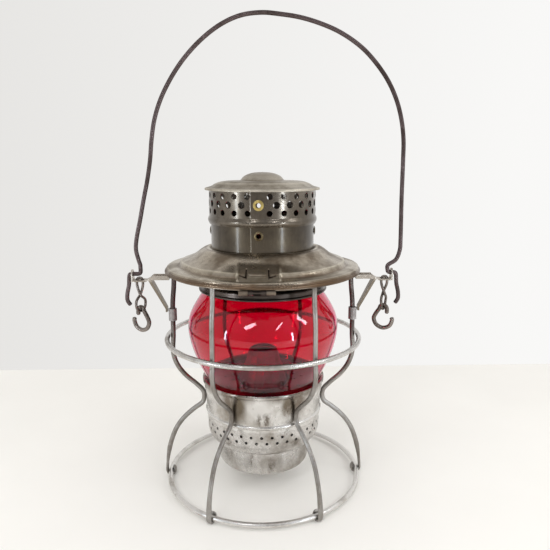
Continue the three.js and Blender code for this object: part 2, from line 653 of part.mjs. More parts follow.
const ventRadius = COLLAR_RADIUS + SEAT + SHEET;
const ventBottom = chimneySeam - VENT_BEAD_HEIGHT;
const ventRow = chimneySeam + VENT_ROW_RISE;
const ventTop = ventRow + VENT_ROW_STEP * (VENT_ROWS - 1) / 2 + VENT_EDGE;
function ventBand() {
  const beadTop = chimneySeam + SEAT + VENT_BEAD_HEIGHT / 2;
  const wall = turned(sheetProfile([[ventRadius, ventBottom], [ventRadius + VENT_BEAD * 0.8, ventBottom + SHEET],
    [ventRadius + VENT_BEAD, mixed(ventBottom, beadTop, 0.5)], [ventRadius + VENT_BEAD * 0.8, beadTop - SHEET],
    [ventRadius, beadTop], [ventRadius, ventTop]]), VENT_HOLES).rotateZ(radians(front + SEAM_ANGLE));
  const step = 360 / VENT_HOLES;
  const tools = [];
  for (let row = 0; row < VENT_ROWS; row++) {
    const middle = row === (VENT_ROWS - 1) / 2;
    tools.push(...holeRow(ventRadius, ventRow + (row - (VENT_ROWS - 1) / 2) * VENT_ROW_STEP,
      middle ? VENT_HOLE_MIDDLE : VENT_HOLE, VENT_HOLES, {
        from: front + SEAM_ANGLE + (middle ? 0 : step / 2), skip: (turn) => middle && turn === front + SEAM_ANGLE }));
  }
  tools.push(...holeRow(ventRadius, ventRow, EYELET_BORE * 2 + SEAT * 4, 1, { from: front + SEAM_ANGLE, sides: 10 }));
  return cut(wall, ...tools);
}
add('chimney_vent_band', ventBand(), 'chimneyTin');

// An eyelet: a short tube through the wall with a flange on the outside.
function eyelet(wallRadius, height, flange) {
  const outside = wallRadius + SEAT;
  const barrel = EYELET_BORE + SEAT;
  const sunk = SHEET * 2;
  return turned([[EYELET_BORE, -sunk], [barrel, -sunk], [barrel, 0], [flange, 0], [flange, EYELET_PROUD / 2],
    [barrel, EYELET_PROUD], [EYELET_BORE, EYELET_PROUD / 2], [EYELET_BORE, -sunk]], 8)
    .rotateY(Math.PI / 2).translate(outside, 0, height);
}
add('vent_eyelet', eyelet(ventRadius, ventRow, EYELET_RADIUS).rotateZ(radians(front + SEAM_ANGLE)), 'brass');
for (const [i, side] of ['front', 'right', 'back', 'left'].entries()) {
  add(`collar_eyelet_${side}`, eyelet(COLLAR_RADIUS, collarEyeletHeight, COLLAR_EYELET_RADIUS)
    .rotateZ(radians(front + SEAM_ANGLE + i * 90)), 'brass');
}

function chimneyCap() {
  const crown = ventTop + CAP_RISE;
  const domeTop = crown + DOME_RISE;
  const edgeLow = ventTop + SHEET - CAP_EDGE - SEAT;
  const crownRadius = mixed(DOME_RADIUS, CAP_RADIUS, 0.5);
  const edgeTop = edgeLow + CAP_EDGE;
  const top = sheetProfile([[CAP_RADIUS, edgeLow], [CAP_RADIUS, edgeTop], [CAP_RADIUS - SHEET * 2, edgeTop + SHEET / 2],
    [mixed(CAP_RADIUS, crownRadius, 0.5), mixed(edgeTop, crown, 0.6)], [crownRadius, crown - SHEET / 3],
    [DOME_RADIUS, crown], [mixed(0, DOME_RADIUS, 0.7), mixed(crown, domeTop, 0.66)],
    [mixed(0, DOME_RADIUS, 0.35), mixed(crown, domeTop, 0.94)], [0, domeTop]]);
  top[top.length - 1] = top[0];
  return turned(top);
}
add('chimney_cap', chimneyCap(), 'hoodTin');

// Globe holder: dark rolled ring under the hood, with a shoulder over the globe's lip
function globeHolder() {
  const lip = globeTop + SEAT;
  const wall = HOLDER_RIM_RADIUS - SHEET;
  const neck = COLLAR_RADIUS - SHEET - SEAT;
  return turned(sheetProfile([[HOLDER_RIM_RADIUS - SHEET / 2, holderBottom], [HOLDER_RIM_RADIUS, holderBottom + SHEET],
    [wall, holderBottom + SHEET * 2.4], [wall - SHEET / 2, lip + SHEET], [mixed(neck, wall, 0.6), lip + SHEET * 1.4],
    [mixed(neck, wall, 0.5), mixed(lip, hoodTop, 0.35)], [neck, hoodTop - SHEET * 5],
    [neck, hoodTop]]), ROUND);
}
add('globe_holder', globeHolder(), 'blued');

// Lid hinge at the front: a lug on the frame ring, two straps on the lid and one pin
const hingeY = -hingeOut;
const webHigh = frameRingTop - FRAME_RING_DEPTH - SEAT;
const webLow = webHigh - SHEET;
const hingeHeight = (webLow + webHigh) / 2;
const lugHalf = HINGE_LUG / 2;
const pinEnd = lugHalf + SEAT * 2 + HINGE_STRAP;

function barrel(from, to) {
  return bar('x', from, to, HINGE_BARREL, 10).translate(0, hingeY, hingeHeight);
}
const hingeBore = bar('x', HINGE_CENTRE - pinEnd - OVERRUN, HINGE_CENTRE + pinEnd + OVERRUN, HINGE_PIN + SEAT, 10)
  .translate(0, hingeY, hingeHeight);

// Two knuckles on a tongue that is soldered under the frame ring.
function hingeLug() {
  const left = HINGE_CENTRE - lugHalf;
  const right = HINGE_CENTRE + lugHalf;
  const root = -frameRingRadius;
  const tongue = box(left, right, root, root + HINGE_BARREL * 2, webLow, webHigh);
  return cut(join(tongue, barrel(left, left + HINGE_KNUCKLE), barrel(right - HINGE_KNUCKLE, right),
    box(left, left + HINGE_KNUCKLE, hingeY, root + SHEET, webLow, webHigh),
    box(right - HINGE_KNUCKLE, right, hingeY, root + SHEET, webLow, webHigh)), hingeBore);
}
add('lid_hinge_lug', hingeLug(), 'hoodTin');

// A curved tongue that follows the inside of the lid's rim, with a web out to the pin.
const tongueOuter = lidInner - SEAT * 2;
const tongueInner = tongueOuter - SHEET;
function rimSector(from, to, outer, low, high) {
  const sector = turned([[tongueInner, low], [outer, low], [outer, high], [tongueInner, high], [tongueInner, low]], ROUND * 3);
  return overlapOf(sector, box(from, to, hingeY, -lidRadius / 2, low - OVERRUN, high + OVERRUN));
}

function hingeStrap(from) {
  const to = from + HINGE_STRAP;
  return cut(join(barrel(from, to), rimSector(from, to, hingeOut * 1.1, webLow, webHigh),
    rimSector(from, to, tongueOuter, webLow, lidBottom + LID_RIM - SHEET)), hingeBore);
}
add('lid_hinge_strap_left', hingeStrap(HINGE_CENTRE - pinEnd), 'hoodTin');
add('lid_hinge_strap_right', hingeStrap(HINGE_CENTRE + lugHalf + SEAT * 2), 'hoodTin');
add('lid_hinge_pin', bar('x', HINGE_CENTRE - pinEnd, HINGE_CENTRE + pinEnd, HINGE_PIN, 10)
  .translate(0, hingeY, hingeHeight), 'frameTin');

// Lid latch at the back: bracket, pin and sprung lever on the lid, keeper on the frame ring
const latchHalf = LATCH_WIDTH / 2;
const latchEar = latchHalf + SEAT + STRAP;
const latchOut = lidRadius + LATCH_OUT;
const keeperHeight = lidBottom - KEEPER_DROP;
const latchHeight = keeperHeight + LATCH_RISE;
const keeperReach = latchOut + LATCH_BARREL - STRAP - SEAT - LATCH_NOSE;
function latchBracket() {
  const back = lidRadius + SEAT;
  const ears = [-latchEar, latchEar - STRAP].map((x) => join(
    bar('x', x, x + STRAP, LATCH_BARREL, 10).translate(0, latchOut, latchHeight),
    box(x, x + STRAP, back, latchOut, latchHeight - LATCH_BARREL, latchHeight + STRAP)));
  const foot = box(-latchEar, latchEar, back, back + SHEET, latchHeight - LATCH_BARREL, latchHeight + STRAP);
  const bore = bar('x', -latchEar - OVERRUN, latchEar + OVERRUN, LATCH_PIN + SEAT, 10).translate(0, latchOut, latchHeight);
  return cut(join(...ears, foot), bore);
}
add('latch_bracket', latchBracket(), 'hoodTin');
add('latch_pin', bar('x', -latchEar, latchEar, LATCH_PIN, 10).translate(0, latchOut, latchHeight), 'frameTin');

const noseTop = keeperHeight - SEAT;
function lidLatch() {
  const outer = latchOut + LATCH_BARREL;
  const low = noseTop - STRAP - LATCH_TAIL;
  const noseReach = keeperReach + SEAT;
  const blade = slab([[noseReach, noseTop - STRAP], [outer - STRAP, noseTop - STRAP], [outer, low],
    [outer + STRAP / 2, low - STRAP * 2], [outer + STRAP * 1.5, low - STRAP * 2], [outer, latchHeight],
    [outer - STRAP, latchHeight], [outer - STRAP, noseTop], [noseReach, noseTop]], LATCH_WIDTH).rotateZ(Math.PI / 2);
  const knuckle = bar('x', -latchHalf, latchHalf, LATCH_BARREL, 10).translate(0, latchOut, latchHeight);
  const bore = bar('x', -latchHalf - OVERRUN, latchHalf + OVERRUN, LATCH_PIN + SEAT, 10).translate(0, latchOut, latchHeight);
  return cut(join(blade, knuckle), bore);
}
add('lid_latch', lidLatch(), 'hoodTin');

function latchKeeper() {
  const root = frameRingRadius + SEAT;
  const shelf = slab([[root, keeperHeight], [keeperReach, keeperHeight], [keeperReach, keeperHeight + STRAP],
    [root + SHEET, keeperHeight + STRAP], [root + SHEET, lidBottom - SEAT], [root, lidBottom - SEAT]],
  LATCH_WIDTH).rotateZ(Math.PI / 2);
  return shelf;
}
add('latch_keeper', latchKeeper(), 'frameTin');

// Fount and burner
function fount() {
  const drum = sheetProfile([[0, FOUNT_BOTTOM], [FOUNT_RADIUS * 0.9, FOUNT_BOTTOM], [FOUNT_RADIUS * 0.975, FOUNT_BOTTOM + SHEET],
    [FOUNT_RADIUS, FOUNT_BOTTOM + SHEET * 3.5], [FOUNT_RADIUS, FOUNT_TOP]]);
  drum[drum.length - 1] = drum[0];
  const shell = turned(drum);
  const lugs = [];
  for (let i = 0; i < LUG_COUNT; i++) {
    const low = BAND_BOTTOM + LUG_REACH;
    const wide = FOUNT_RADIUS * 2 * Math.sin(radians(LUG_HALF_ANGLE));
    lugs.push(box(FOUNT_RADIUS - SHEET / 2, BAND_MOUTH + LUG_REACH * 0.5, -wide / 2, wide / 2, low, low + LUG_THICK)
      .rotateZ(radians(i * 360 / LUG_COUNT)));
  }
  return join(shell, ...lugs);
}
add('fount', fount(), 'frameTin');

function fountTop() {
  const edge = FOUNT_RADIUS - SHEET - SEAT;
  const plateLow = FOUNT_TOP - SHEET;
  const neckTop = FOUNT_TOP + NECK_HEIGHT;
  const disc = turned([[edge, plateLow - SHEET * 2], [edge, FOUNT_TOP], [NECK_RADIUS, FOUNT_TOP], [NECK_RADIUS, neckTop],
    [NECK_RADIUS - SHEET, neckTop], [NECK_RADIUS - SHEET, plateLow], [edge - SHEET, plateLow],
    [edge - SHEET, plateLow - SHEET * 2], [edge, plateLow - SHEET * 2]]);
  const collarTop = FOUNT_TOP + FILLER_HEIGHT;
  const fillerCollar = turned([[FILLER_RADIUS - SHEET, FOUNT_TOP - SHEET / 2], [FILLER_RADIUS, FOUNT_TOP - SHEET / 2],
    [FILLER_RADIUS, collarTop], [FILLER_RADIUS - SHEET, collarTop], [FILLER_RADIUS - SHEET, FOUNT_TOP - SHEET / 2]], HIDDEN)
    .translate(0, FILLER_OUT, 0);
  const mouth = bar('z', FOUNT_TOP - OVERRUN, FOUNT_TOP + OVERRUN, FILLER_RADIUS - SHEET, HIDDEN).translate(0, FILLER_OUT, 0);
  return cut(join(disc, fillerCollar), mouth);
}
add('fount_top', fountTop(), 'frameTin');

const gasketTop = FOUNT_TOP + FILLER_HEIGHT + SEAT + SHEET;
add('filler_gasket', turned([[FILLER_RADIUS - SHEET * 2, gasketTop - SHEET], [FILLER_RADIUS, gasketTop - SHEET],
  [FILLER_RADIUS, gasketTop], [FILLER_RADIUS - SHEET * 2, gasketTop], [FILLER_RADIUS - SHEET * 2, gasketTop - SHEET]], HIDDEN)
  .translate(0, FILLER_OUT, 0), 'cork');
function fillerCap() {
  const inner = FILLER_RADIUS + SEAT;
  const outer = inner + SHEET;
  const top = gasketTop + SEAT;
  return turned([[inner, FOUNT_TOP + SEAT], [outer, FOUNT_TOP + SEAT], [outer, top], [outer - SHEET / 2, top + SHEET],
    [0, top + SHEET], [0, top], [inner, top], [inner, FOUNT_TOP + SEAT]], HIDDEN).translate(0, FILLER_OUT, 0);
}
add('filler_cap', fillerCap(), 'brass');

const tubeWide = WICK_WIDTH / 2 + SEAT + TUBE_WALL;
const tubeThick = WICK_THICK / 2 + SEAT + TUBE_WALL;
const burnerPlate = FOUNT_TOP + NECK_HEIGHT + SEAT;
const block = (wide, thick, low, high) => box(-wide, wide, -thick, thick, low, high);
function burnerBase() {
  const skirt = NECK_RADIUS + SEAT;
  const body = turned([[skirt, FOUNT_TOP + SHEET * 2], [skirt + SHEET, FOUNT_TOP + SHEET * 2], [skirt + SHEET, burnerPlate],
    [BURNER_RADIUS, burnerPlate], [BURNER_RADIUS, burnerPlate + SHEET], [0, burnerPlate + SHEET], [0, burnerPlate],
    [skirt, burnerPlate], [skirt, FOUNT_TOP + SHEET * 2]], HIDDEN);
  return cut(body, block(tubeWide + SEAT, tubeThick + SEAT, burnerPlate - OVERRUN, burnerPlate + OVERRUN));
}
add('burner_base', burnerBase(), 'brass');

const galleryBottom = burnerPlate + SHEET + SEAT;
const galleryTop = galleryBottom + GALLERY_HEIGHT;
const spindleHeight = burnerPlate + SPINDLE_HEIGHT;
const spindleY = -(WICK_THICK / 2 + SEAT + SPUR_RADIUS);
function burnerGallery() {
  const wall = turned([[BURNER_RADIUS - SHEET, galleryBottom], [BURNER_RADIUS, galleryBottom], [BURNER_RADIUS, galleryTop],
    [BURNER_RADIUS - SHEET, galleryTop], [BURNER_RADIUS - SHEET, galleryBottom]], HIDDEN);
  const rows = holeRow(BURNER_RADIUS, mixed(galleryBottom, galleryTop, 0.22), GALLERY_HOLE, GALLERY_HOLES);
  const shaftHole = bar('x', -BURNER_RADIUS - OVERRUN, -BURNER_RADIUS / 2, SPINDLE_RADIUS + SEAT, 10)
    .translate(0, spindleY, spindleHeight);
  return cut(wall, ...rows, shaftHole);
}
add('burner_gallery', burnerGallery(), 'brass');

const domeBottom = galleryTop + SEAT;
function burnerDome() {
  // Shares of the gallery's radius, and of the dome's height.
  const domeShares = [[1, 0], [0.98, 0.15], [0.85, 0.42], [0.68, 0.66], [0.63, 0.8], [0.54, 0.92], [0.3, 0.99], [0, 1]];
  const profile = sheetProfile(domeShares.map(([out, up]) => [BURNER_RADIUS * out, domeBottom + DOME_HEIGHT * up]));
  profile[profile.length - 1] = profile[0];
  const top = domeBottom + DOME_HEIGHT;
  const slot = block(FLAME_SLOT / 2, WICK_THICK, top - OVERRUN * 4, top + OVERRUN);
  return cut(turned(profile, HIDDEN), slot);
}
add('burner_dome', burnerDome(), 'blued');

const spurX = WICK_WIDTH / 4;
const tubeTop = WICK_TOP - WICK_THICK;
function wickTube() {
  const low = FOUNT_TOP + SHEET;
  const outer = block(tubeWide, tubeThick, low, tubeTop);
  const inner = block(tubeWide - TUBE_WALL, tubeThick - TUBE_WALL, low - OVERRUN, tubeTop + OVERRUN);
  const windows = [-spurX, spurX].map((x) => box(x - STRAP, x + STRAP, -tubeThick - OVERRUN, 0,
    spindleHeight - SPUR_RADIUS * 1.3, spindleHeight + SPUR_RADIUS * 1.3));
  return cut(outer, inner, ...windows);
}
add('wick_tube', wickTube(), 'brass');
add('wick', block(WICK_WIDTH / 2, WICK_THICK / 2, WICK_BOTTOM, WICK_TOP), 'cotton');

function wickSpindle() {
  const teeth = 8;
  const spur = [];
  for (let k = 0; k < teeth * 2; k++) {
    const turn = k * Math.PI / teeth;
    const reach = k % 2 ? SPUR_RADIUS * 0.75 : SPUR_RADIUS;
    spur.push([reach * Math.cos(turn), reach * Math.sin(turn)]);
  }
  const wheels = [-spurX, spurX].map((x) => plate(spur, -SHEET / 2, SHEET / 2).rotateY(Math.PI / 2).translate(x, 0, 0));
  const shaft = bar('x', -KNOB_OUT, BURNER_RADIUS * 0.6, SPINDLE_RADIUS, 10);
  return join(shaft, ...wheels).translate(0, spindleY, spindleHeight);
}
add('wick_spindle', wickSpindle(), 'brass');

function wickKnob() {
  const points = [];
  const ribs = 20;
  for (let k = 0; k < ribs * 2; k++) {
    const turn = k * Math.PI / ribs;
    const reach = k % 2 ? KNOB_RADIUS * 0.94 : KNOB_RADIUS;
    points.push([reach * Math.cos(turn), reach * Math.sin(turn)]);
  }
  return plate(points, 0, KNOB_THICK).rotateY(-Math.PI / 2).translate(-KNOB_OUT - SEAT, spindleY, spindleHeight);
}
add('wick_knob', wickKnob(), 'brass');

// Bail
const legInner = plateInner - SEAT - bailHalf;
const legOuter = plateOuter + SEAT + bailHalf;
function bailEnd(side, inner, outer) {
  const bend = bailHalf * 1.1;
  const rise = pivotHeight + bend * 3;
  const end = pivotHeight - BAIL_HOOK_DROP;
  const bulge = BAIL_WIRE;
  return [[inner, rise], [inner, pivotHeight + bend], [inner + bend * 0.3, pivotHeight + bend * 0.3], [inner + bend, pivotHeight],
    [outer - bend, pivotHeight], [outer - bend * 0.3, pivotHeight - bend * 0.3], [outer, pivotHeight - bend],
    [outer + bulge * 0.2, mixed(pivotHeight, end, 0.35)], [outer + bulge * 0.7, mixed(pivotHeight, end, 0.65)],
    [outer + bulge * 0.7, mixed(pivotHeight, end, 0.85)], [outer, end]].map(([x, z]) => [x * side, z]);
}

function bail() {
  // Shares of the widest half-span, and of the height from the pivot to the crown.
  const leftShares = [[-0.888, 0.036], [-0.899, 0.058], [-0.914, 0.1], [-0.907, 0.14], [-0.874, 0.22], [-0.843, 0.3],
    [-0.81, 0.379], [-0.785, 0.456], [-0.769, 0.532], [-0.744, 0.608], [-0.698, 0.682], [-0.628, 0.756], [-0.536, 0.829],
    [-0.414, 0.9], [-0.278, 0.956], [-0.143, 0.989], [0, 1]];
  const rightShares = [[0.125, 0.995], [0.26, 0.984], [0.396, 0.963], [0.532, 0.932], [0.671, 0.883], [0.768, 0.832],
    [0.869, 0.759], [0.936, 0.685], [0.977, 0.609], [0.997, 0.533], [1, 0.456], [1.001, 0.297], [1.006, 0.134],
    [1.004, 0.094], [0.978, 0.053]];
  const place = ([out, up]) => [bailSpan * out, mixed(pivotHeight, bailTop, up)];
  const leftEnd = bailEnd(-1, bailSpan * 0.888, legOuter).reverse();
  const rightEnd = bailEnd(1, legInner - SEAT * 2, legOuter + SEAT * 4);
  const points = [...leftEnd, ...leftShares.map(place), ...rightShares.map(place), ...rightEnd];
  const curve = new THREE.CatmullRomCurve3(points.map(([x, z]) => new THREE.Vector3(x, 0, z)));
  return bentWire(curve, roundWire(BAIL_WIRE), radians(9));
}

add('bail', bail(), 'darkWire');

// Twisted link: a long loop of thin wire whose strands cross once below the ear
const linkTop = neckFloor + SEAT + linkHalf;
const linkBottom = linkTop - LINK_LENGTH;
function link() {
  const topHalf = LINK_TOP_SPREAD / 2;
  const lowHalf = LINK_LOW_SPREAD / 2;
  const crossing = mixed(linkTop, linkBottom, 0.5);
  const apart = linkHalf + SEAT;
  const at = (across, z, turn) => new THREE.Vector3(across * Math.cos(radians(turn)), across * Math.sin(radians(turn)), z);
  const lowTurn = 180 + LINK_TWIST;
  const down = [at(topHalf * 0.7, linkTop - topHalf * 0.2, 0), at(topHalf, linkTop - topHalf, 0), at(topHalf, mixed(linkTop, crossing, 0.45), 6),
    at(apart, crossing, 100), at(lowHalf * 0.8, mixed(crossing, linkBottom, 0.35), lowTurn - 8),
    at(lowHalf, mixed(crossing, linkBottom, 0.62), lowTurn), at(lowHalf * 0.72, linkBottom + lowHalf * 0.28, lowTurn)];
  const up = down.map((p) => new THREE.Vector3(-p.x, -p.y, p.z)).reverse();
  const points = [at(0, linkTop, 0), ...down, at(0, linkBottom, 0), ...up];
  const curve = new THREE.CatmullRomCurve3(points, true);
  curve.arcLengthDivisions = 800;
  return loopWire(curve, 34, LINK_WIRE, 6);
}
const oneLink = link();
add('link_right', oneLink, 'darkWire').position.x = linkOut;
const linkLeft = add('link_left', oneLink, 'darkWire');
linkLeft.position.x = -linkOut;
linkLeft.rotation.z = Math.PI;

// Open hook of heavier wire: a small eye over the link's lowest bend, then a wide open curl
function hook() {
  const eye = linkHalf + SEAT + HOOK_WIRE / 2;
  const half = HOOK_WIDTH / 2;
  const points = [[eye, -eye * 1.2], [eye, 0], [eye * 0.7, eye * 0.7], [0, eye], [-eye * 0.7, eye * 0.7], [-eye, 0],
    [-half * 0.78, -HOOK_DROP * 0.28], [-half, -HOOK_DROP * 0.55], [-half * 0.72, -HOOK_DROP * 0.86], [0, -HOOK_DROP],
    [half * 0.72, -HOOK_DROP * 0.86], [half, -HOOK_DROP * 0.55], [half * 0.94, -HOOK_DROP * 0.4]];
  const curve = new THREE.CatmullRomCurve3(points.map(([x, z]) => new THREE.Vector3(x, 0, z)));
  return bentWire(curve, roundWire(HOOK_WIRE)).rotateZ(radians(LINK_TWIST - 90)).translate(0, 0, linkBottom);
}
const oneHook = hook();
add('hook_right', oneHook, 'darkWire').position.x = linkOut;
const hookLeft = add('hook_left', oneHook, 'darkWire');
hookLeft.position.x = -linkOut;
hookLeft.rotation.z = Math.PI;

export default group;
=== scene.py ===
# %% [markdown]
# # A railroad hand lantern, dressed for its picture
# The lantern comes in as a fixed frame of named parts. Here each visible part gets its real surface:
# round wire, spun tin, punched holes, a glass globe and worn metal made of noise patterns. Nothing
# moves a part, so the lantern still opens, swings and hangs as it should.

# %% Load the frame
import json
from math import asin, atan2, copysign, cos, degrees, exp, hypot, pi, radians, sin, sqrt

import bmesh
import bpy
from mathutils import Matrix, Vector
from mathutils.geometry import delaunay_2d_cdt


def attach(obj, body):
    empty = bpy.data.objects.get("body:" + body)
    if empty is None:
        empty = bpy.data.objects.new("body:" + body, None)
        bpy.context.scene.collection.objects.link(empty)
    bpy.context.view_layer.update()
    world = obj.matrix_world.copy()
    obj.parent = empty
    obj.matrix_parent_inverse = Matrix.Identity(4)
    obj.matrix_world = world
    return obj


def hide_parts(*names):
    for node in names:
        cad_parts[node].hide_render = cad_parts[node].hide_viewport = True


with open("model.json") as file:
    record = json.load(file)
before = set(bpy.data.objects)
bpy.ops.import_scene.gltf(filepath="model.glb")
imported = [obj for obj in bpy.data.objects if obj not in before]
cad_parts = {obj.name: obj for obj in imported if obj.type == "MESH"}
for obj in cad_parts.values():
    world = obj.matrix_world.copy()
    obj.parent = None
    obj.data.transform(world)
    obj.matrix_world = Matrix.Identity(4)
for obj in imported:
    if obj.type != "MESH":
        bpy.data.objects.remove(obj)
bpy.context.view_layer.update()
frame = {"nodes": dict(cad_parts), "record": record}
nodes = frame["nodes"]


def placed(name, data):
    """A new object in the scene."""
    obj = bpy.data.objects.new(name, data)
    bpy.context.scene.collection.objects.link(obj)
    return obj


# %% [markdown]
# ## Camera
# The photograph was taken from a little above the lid, close by and with a short lens. That makes the
# near side of the base ring look wide and the far side narrow, so the camera stands in the same
# place. Depth of field stays off: every part is sharp.

# %% Camera
MM = 0.001
EYE = Vector((-3.3, -448.9, 264.7)) * MM
PITCH, YAW, ROLL = radians(-11.23), radians(-1.69), radians(-0.07)
LENS, SENSOR = 36.8, 36.0

camera_data = bpy.data.cameras.new("photographer")
camera_data.lens, camera_data.sensor_width = LENS, SENSOR
camera_data.clip_start = 0.02
camera = placed("photographer", camera_data)
camera.location = EYE
level = Matrix.Rotation(pi / 2, 4, "X")
camera.rotation_euler = (Matrix.Rotation(YAW, 4, "Z") @ Matrix.Rotation(PITCH, 4, "X") @ level
                         @ Matrix.Rotation(ROLL, 4, "Z")).to_euler()
bpy.context.scene.camera = camera
print("camera looks along", [round(x, 3) for x in camera.rotation_euler.to_matrix() @ Vector((0, 0, -1))])

# %% [markdown]
# ## Patterns that read like sums
# A finish is made of pattern nodes: noise for blotches, stretched noise for scratches, cells for
# specks. A Value stands for what a node gives at each point. Values are added and multiplied like
# numbers, and each sum makes its own node and wires.

# %% Pattern helpers
def fill(tree, node, inputs):
    """Gives a node its inputs: numbers, colours or values of other nodes."""
    for label, given in inputs.items():
        socket = node.inputs[label]
        if isinstance(given, Value):
            tree.links.new(given.socket, socket)
        else:
            socket.default_value = (*given, 1) if socket.type == "RGBA" else given


def made(tree, kind, inputs, result=0, **settings):
    """Adds a node and returns one of its results."""
    node = tree.nodes.new("ShaderNode" + kind)
    for name, setting in settings.items():
        setattr(node, name, setting)
    fill(tree, node, inputs)
    return Value(tree, node.outputs[result]) if node.outputs else None


class Value:
    """A number, colour or place that a node gives at each point of a surface."""

    def __init__(self, tree, socket):
        self.tree, self.socket = tree, socket

    def other(self, name):
        """Another result of the same node."""
        return Value(self.tree, self.socket.node.outputs[name])

    def math(self, operation, number=0.0):
        return made(self.tree, "Math", {0: self, 1: number}, operation=operation)

    def __add__(self, number):
        return self.math("ADD", number)

    def __sub__(self, number):
        return self.math("SUBTRACT", number)

    def __mul__(self, number):
        return self.math("MULTIPLY", number)

    def __abs__(self):
        return self.math("ABSOLUTE")

    def highest(self, number):
        return self.math("MAXIMUM", number)

    def between(self, low, high, to_low=0.0, to_high=1.0):
        """Goes from to_low to to_high while this value goes from low to high."""
        ends = {"From Min": low, "From Max": high, "To Min": to_low, "To Max": to_high}
        return made(self.tree, "MapRange", {"Value": self, **ends})

    def ridge(self, middle, half):
        """1 where this value is at the middle, falling to 0 at the half-width on both sides."""
        return abs(self - middle).between(0.0, half, 1.0, 0.0)

    def blend(self, first, second):
        """Mixes two colours, with this value as the share of the second."""
        return made(self.tree, "Mix", {"A": first, "B": second, "Factor": self}, "Result", data_type="RGBA")

    def axes(self):
        x = made(self.tree, "SeparateXYZ", {0: self}, "X")
        return x, x.other("Y"), x.other("Z")

    def stretched(self, *scale):
        return made(self.tree, "Mapping", {"Vector": self, "Scale": scale}, "Vector")

    def noise(self, scale, detail=4.0, roughness=0.55):
        numbers = {"Scale": scale, "Detail": detail, "Roughness": roughness}
        return made(self.tree, "TexNoise", {"Vector": self, **numbers}, "Fac")

    def cells(self, scale):
        return made(self.tree, "TexVoronoi", {"Vector": self, "Scale": scale}, "Distance")


finishes = {}


class Finish:
    """A material. Its place is the object's own coordinates, its colour what was painted so far."""

    def __init__(self, name):
        self.material = bpy.data.materials.new(name)
        self.material.use_nodes = True
        self.tree = self.material.node_tree
        self.place = made(self.tree, "TexCoord", {}, "Object")
        finishes[name] = self

    def fill(self, inputs):
        fill(self.tree, self.tree.nodes["Principled BSDF"], inputs)

    def axes(self):
        """x, y and z of the point in millimetres."""
        return tuple(axis * (1 / MM) for axis in self.place.axes())

    def paint(self, share, colour):
        """Lays a colour over the finish, as thickly as the share says."""
        self.colour = share.blend(self.colour, colour)
        self.fill({"Base Color": self.colour})

    def bump(self, height, strength, distance=0.0004):
        bumps = made(self.tree, "Bump", {"Height": height, "Strength": strength, "Distance": distance})
        self.fill({"Normal": bumps})


print("pattern helpers ready")

# %% [markdown]
# ## Wall and light
# Metal has hardly any colour of its own: it shows the room, so the room matters as much as the tin.
# In a plain white world tin looks like grey paint. So the world is bright behind the lantern and dim
# behind the camera.

# %% World
TABLE_BACK = 0.262
WALL_LEFT, WALL_RIGHT = (0.80, 0.79, 0.772), (0.945, 0.94, 0.928)
DIM = (0.33, 0.33, 0.34)
ROOM_TINT, ROOM_STRENGTH = (1.0, 0.985, 0.955), 0.76

world = bpy.data.worlds.new("pale room")
bpy.context.scene.world = world
world.use_nodes = True
tree = world.node_tree
tree.nodes.clear()
x, y, z = made(tree, "TexCoord", {}, "Generated").axes()
wall = x.between(-0.4, 0.42).blend(WALL_LEFT, WALL_RIGHT)
seen = made(tree, "Background", {"Color": y.between(-0.9, 0.15).blend(DIM, wall)})
lighting = made(tree, "Background", {"Color": ROOM_TINT, "Strength": ROOM_STRENGTH})
ray = made(tree, "LightPath", {}, "Is Camera Ray")
sharp = ray.highest(ray.other("Is Glossy Ray")).highest(ray.other("Is Transmission Ray"))
made(tree, "OutputWorld", {"Surface": made(tree, "MixShader", {0: sharp, 1: lighting, 2: seen})})
bpy.context.scene.view_settings.view_transform = "Standard"
print("world nodes:", len(tree.nodes))

# %% [markdown]
# Soft lamps light the lantern evenly, and five small ones draw the glints: strips for the bright lines
# of the chimney, panes for the spots on the glass. Only the small ones show in glossy surfaces, or
# the globe would carry big pale squares.

# %% Lamps
# Each lamp has its place, width and height in metres, power, tint, tilt and whether it makes glints.
COOL, PANE = (0.80, 0.90, 1.0), (0.96, 0.98, 1.0)
LAMPS = {
    "soft_left": ((-0.95, -0.95, 1.0), (1.0, 1.0), 2.8, (1.0, 0.985, 0.96), 0, False),
    "soft_right": ((1.0, -0.9, 0.8), (0.8, 0.8), 2.0, (0.97, 0.985, 1.0), 0, False),
    "ceiling": ((0.05, -0.05, 1.4), (1.5, 1.5), 3.1, (1.0, 1.0, 1.0), 0, False),
    "strip_left": ((-1.08, -0.73, 0.20), (0.07, 0.60), 2.9, COOL, 0, True),
    "strip_right": ((0.87, -0.96, 0.20), (0.055, 0.50), 2.4, COOL, 0, True),
    "pane_left": ((-0.42, -1.05, 0.90), (0.40, 0.13), 2.4, PANE, 38, True),
    "pane_middle": ((0.52, -1.05, 0.90), (0.38, 0.045), 0.9, PANE, 40, True),
    "pane_right": ((1.04, -0.42, 0.80), (0.34, 0.10), 1.7, PANE, -62, True),
}
AIM = Vector((0.0, 0.0, 0.15))
for lamp_name, (place, (wide, tall), power, tint, tilt, glints) in LAMPS.items():
    lamp = bpy.data.lights.new(lamp_name, "AREA")
    lamp.shape, lamp.size, lamp.size_y = "RECTANGLE", wide, tall
    lamp.energy, lamp.color = power, tint
    holder = placed(lamp_name, lamp)
    holder.location = place
    facing = (AIM - Vector(place)).to_track_quat("-Z", "Y").to_matrix().to_4x4()
    holder.rotation_euler = (facing @ Matrix.Rotation(radians(tilt), 4, "Z")).to_euler()
    holder.visible_glossy = glints
print("lamps:", ", ".join(LAMPS))

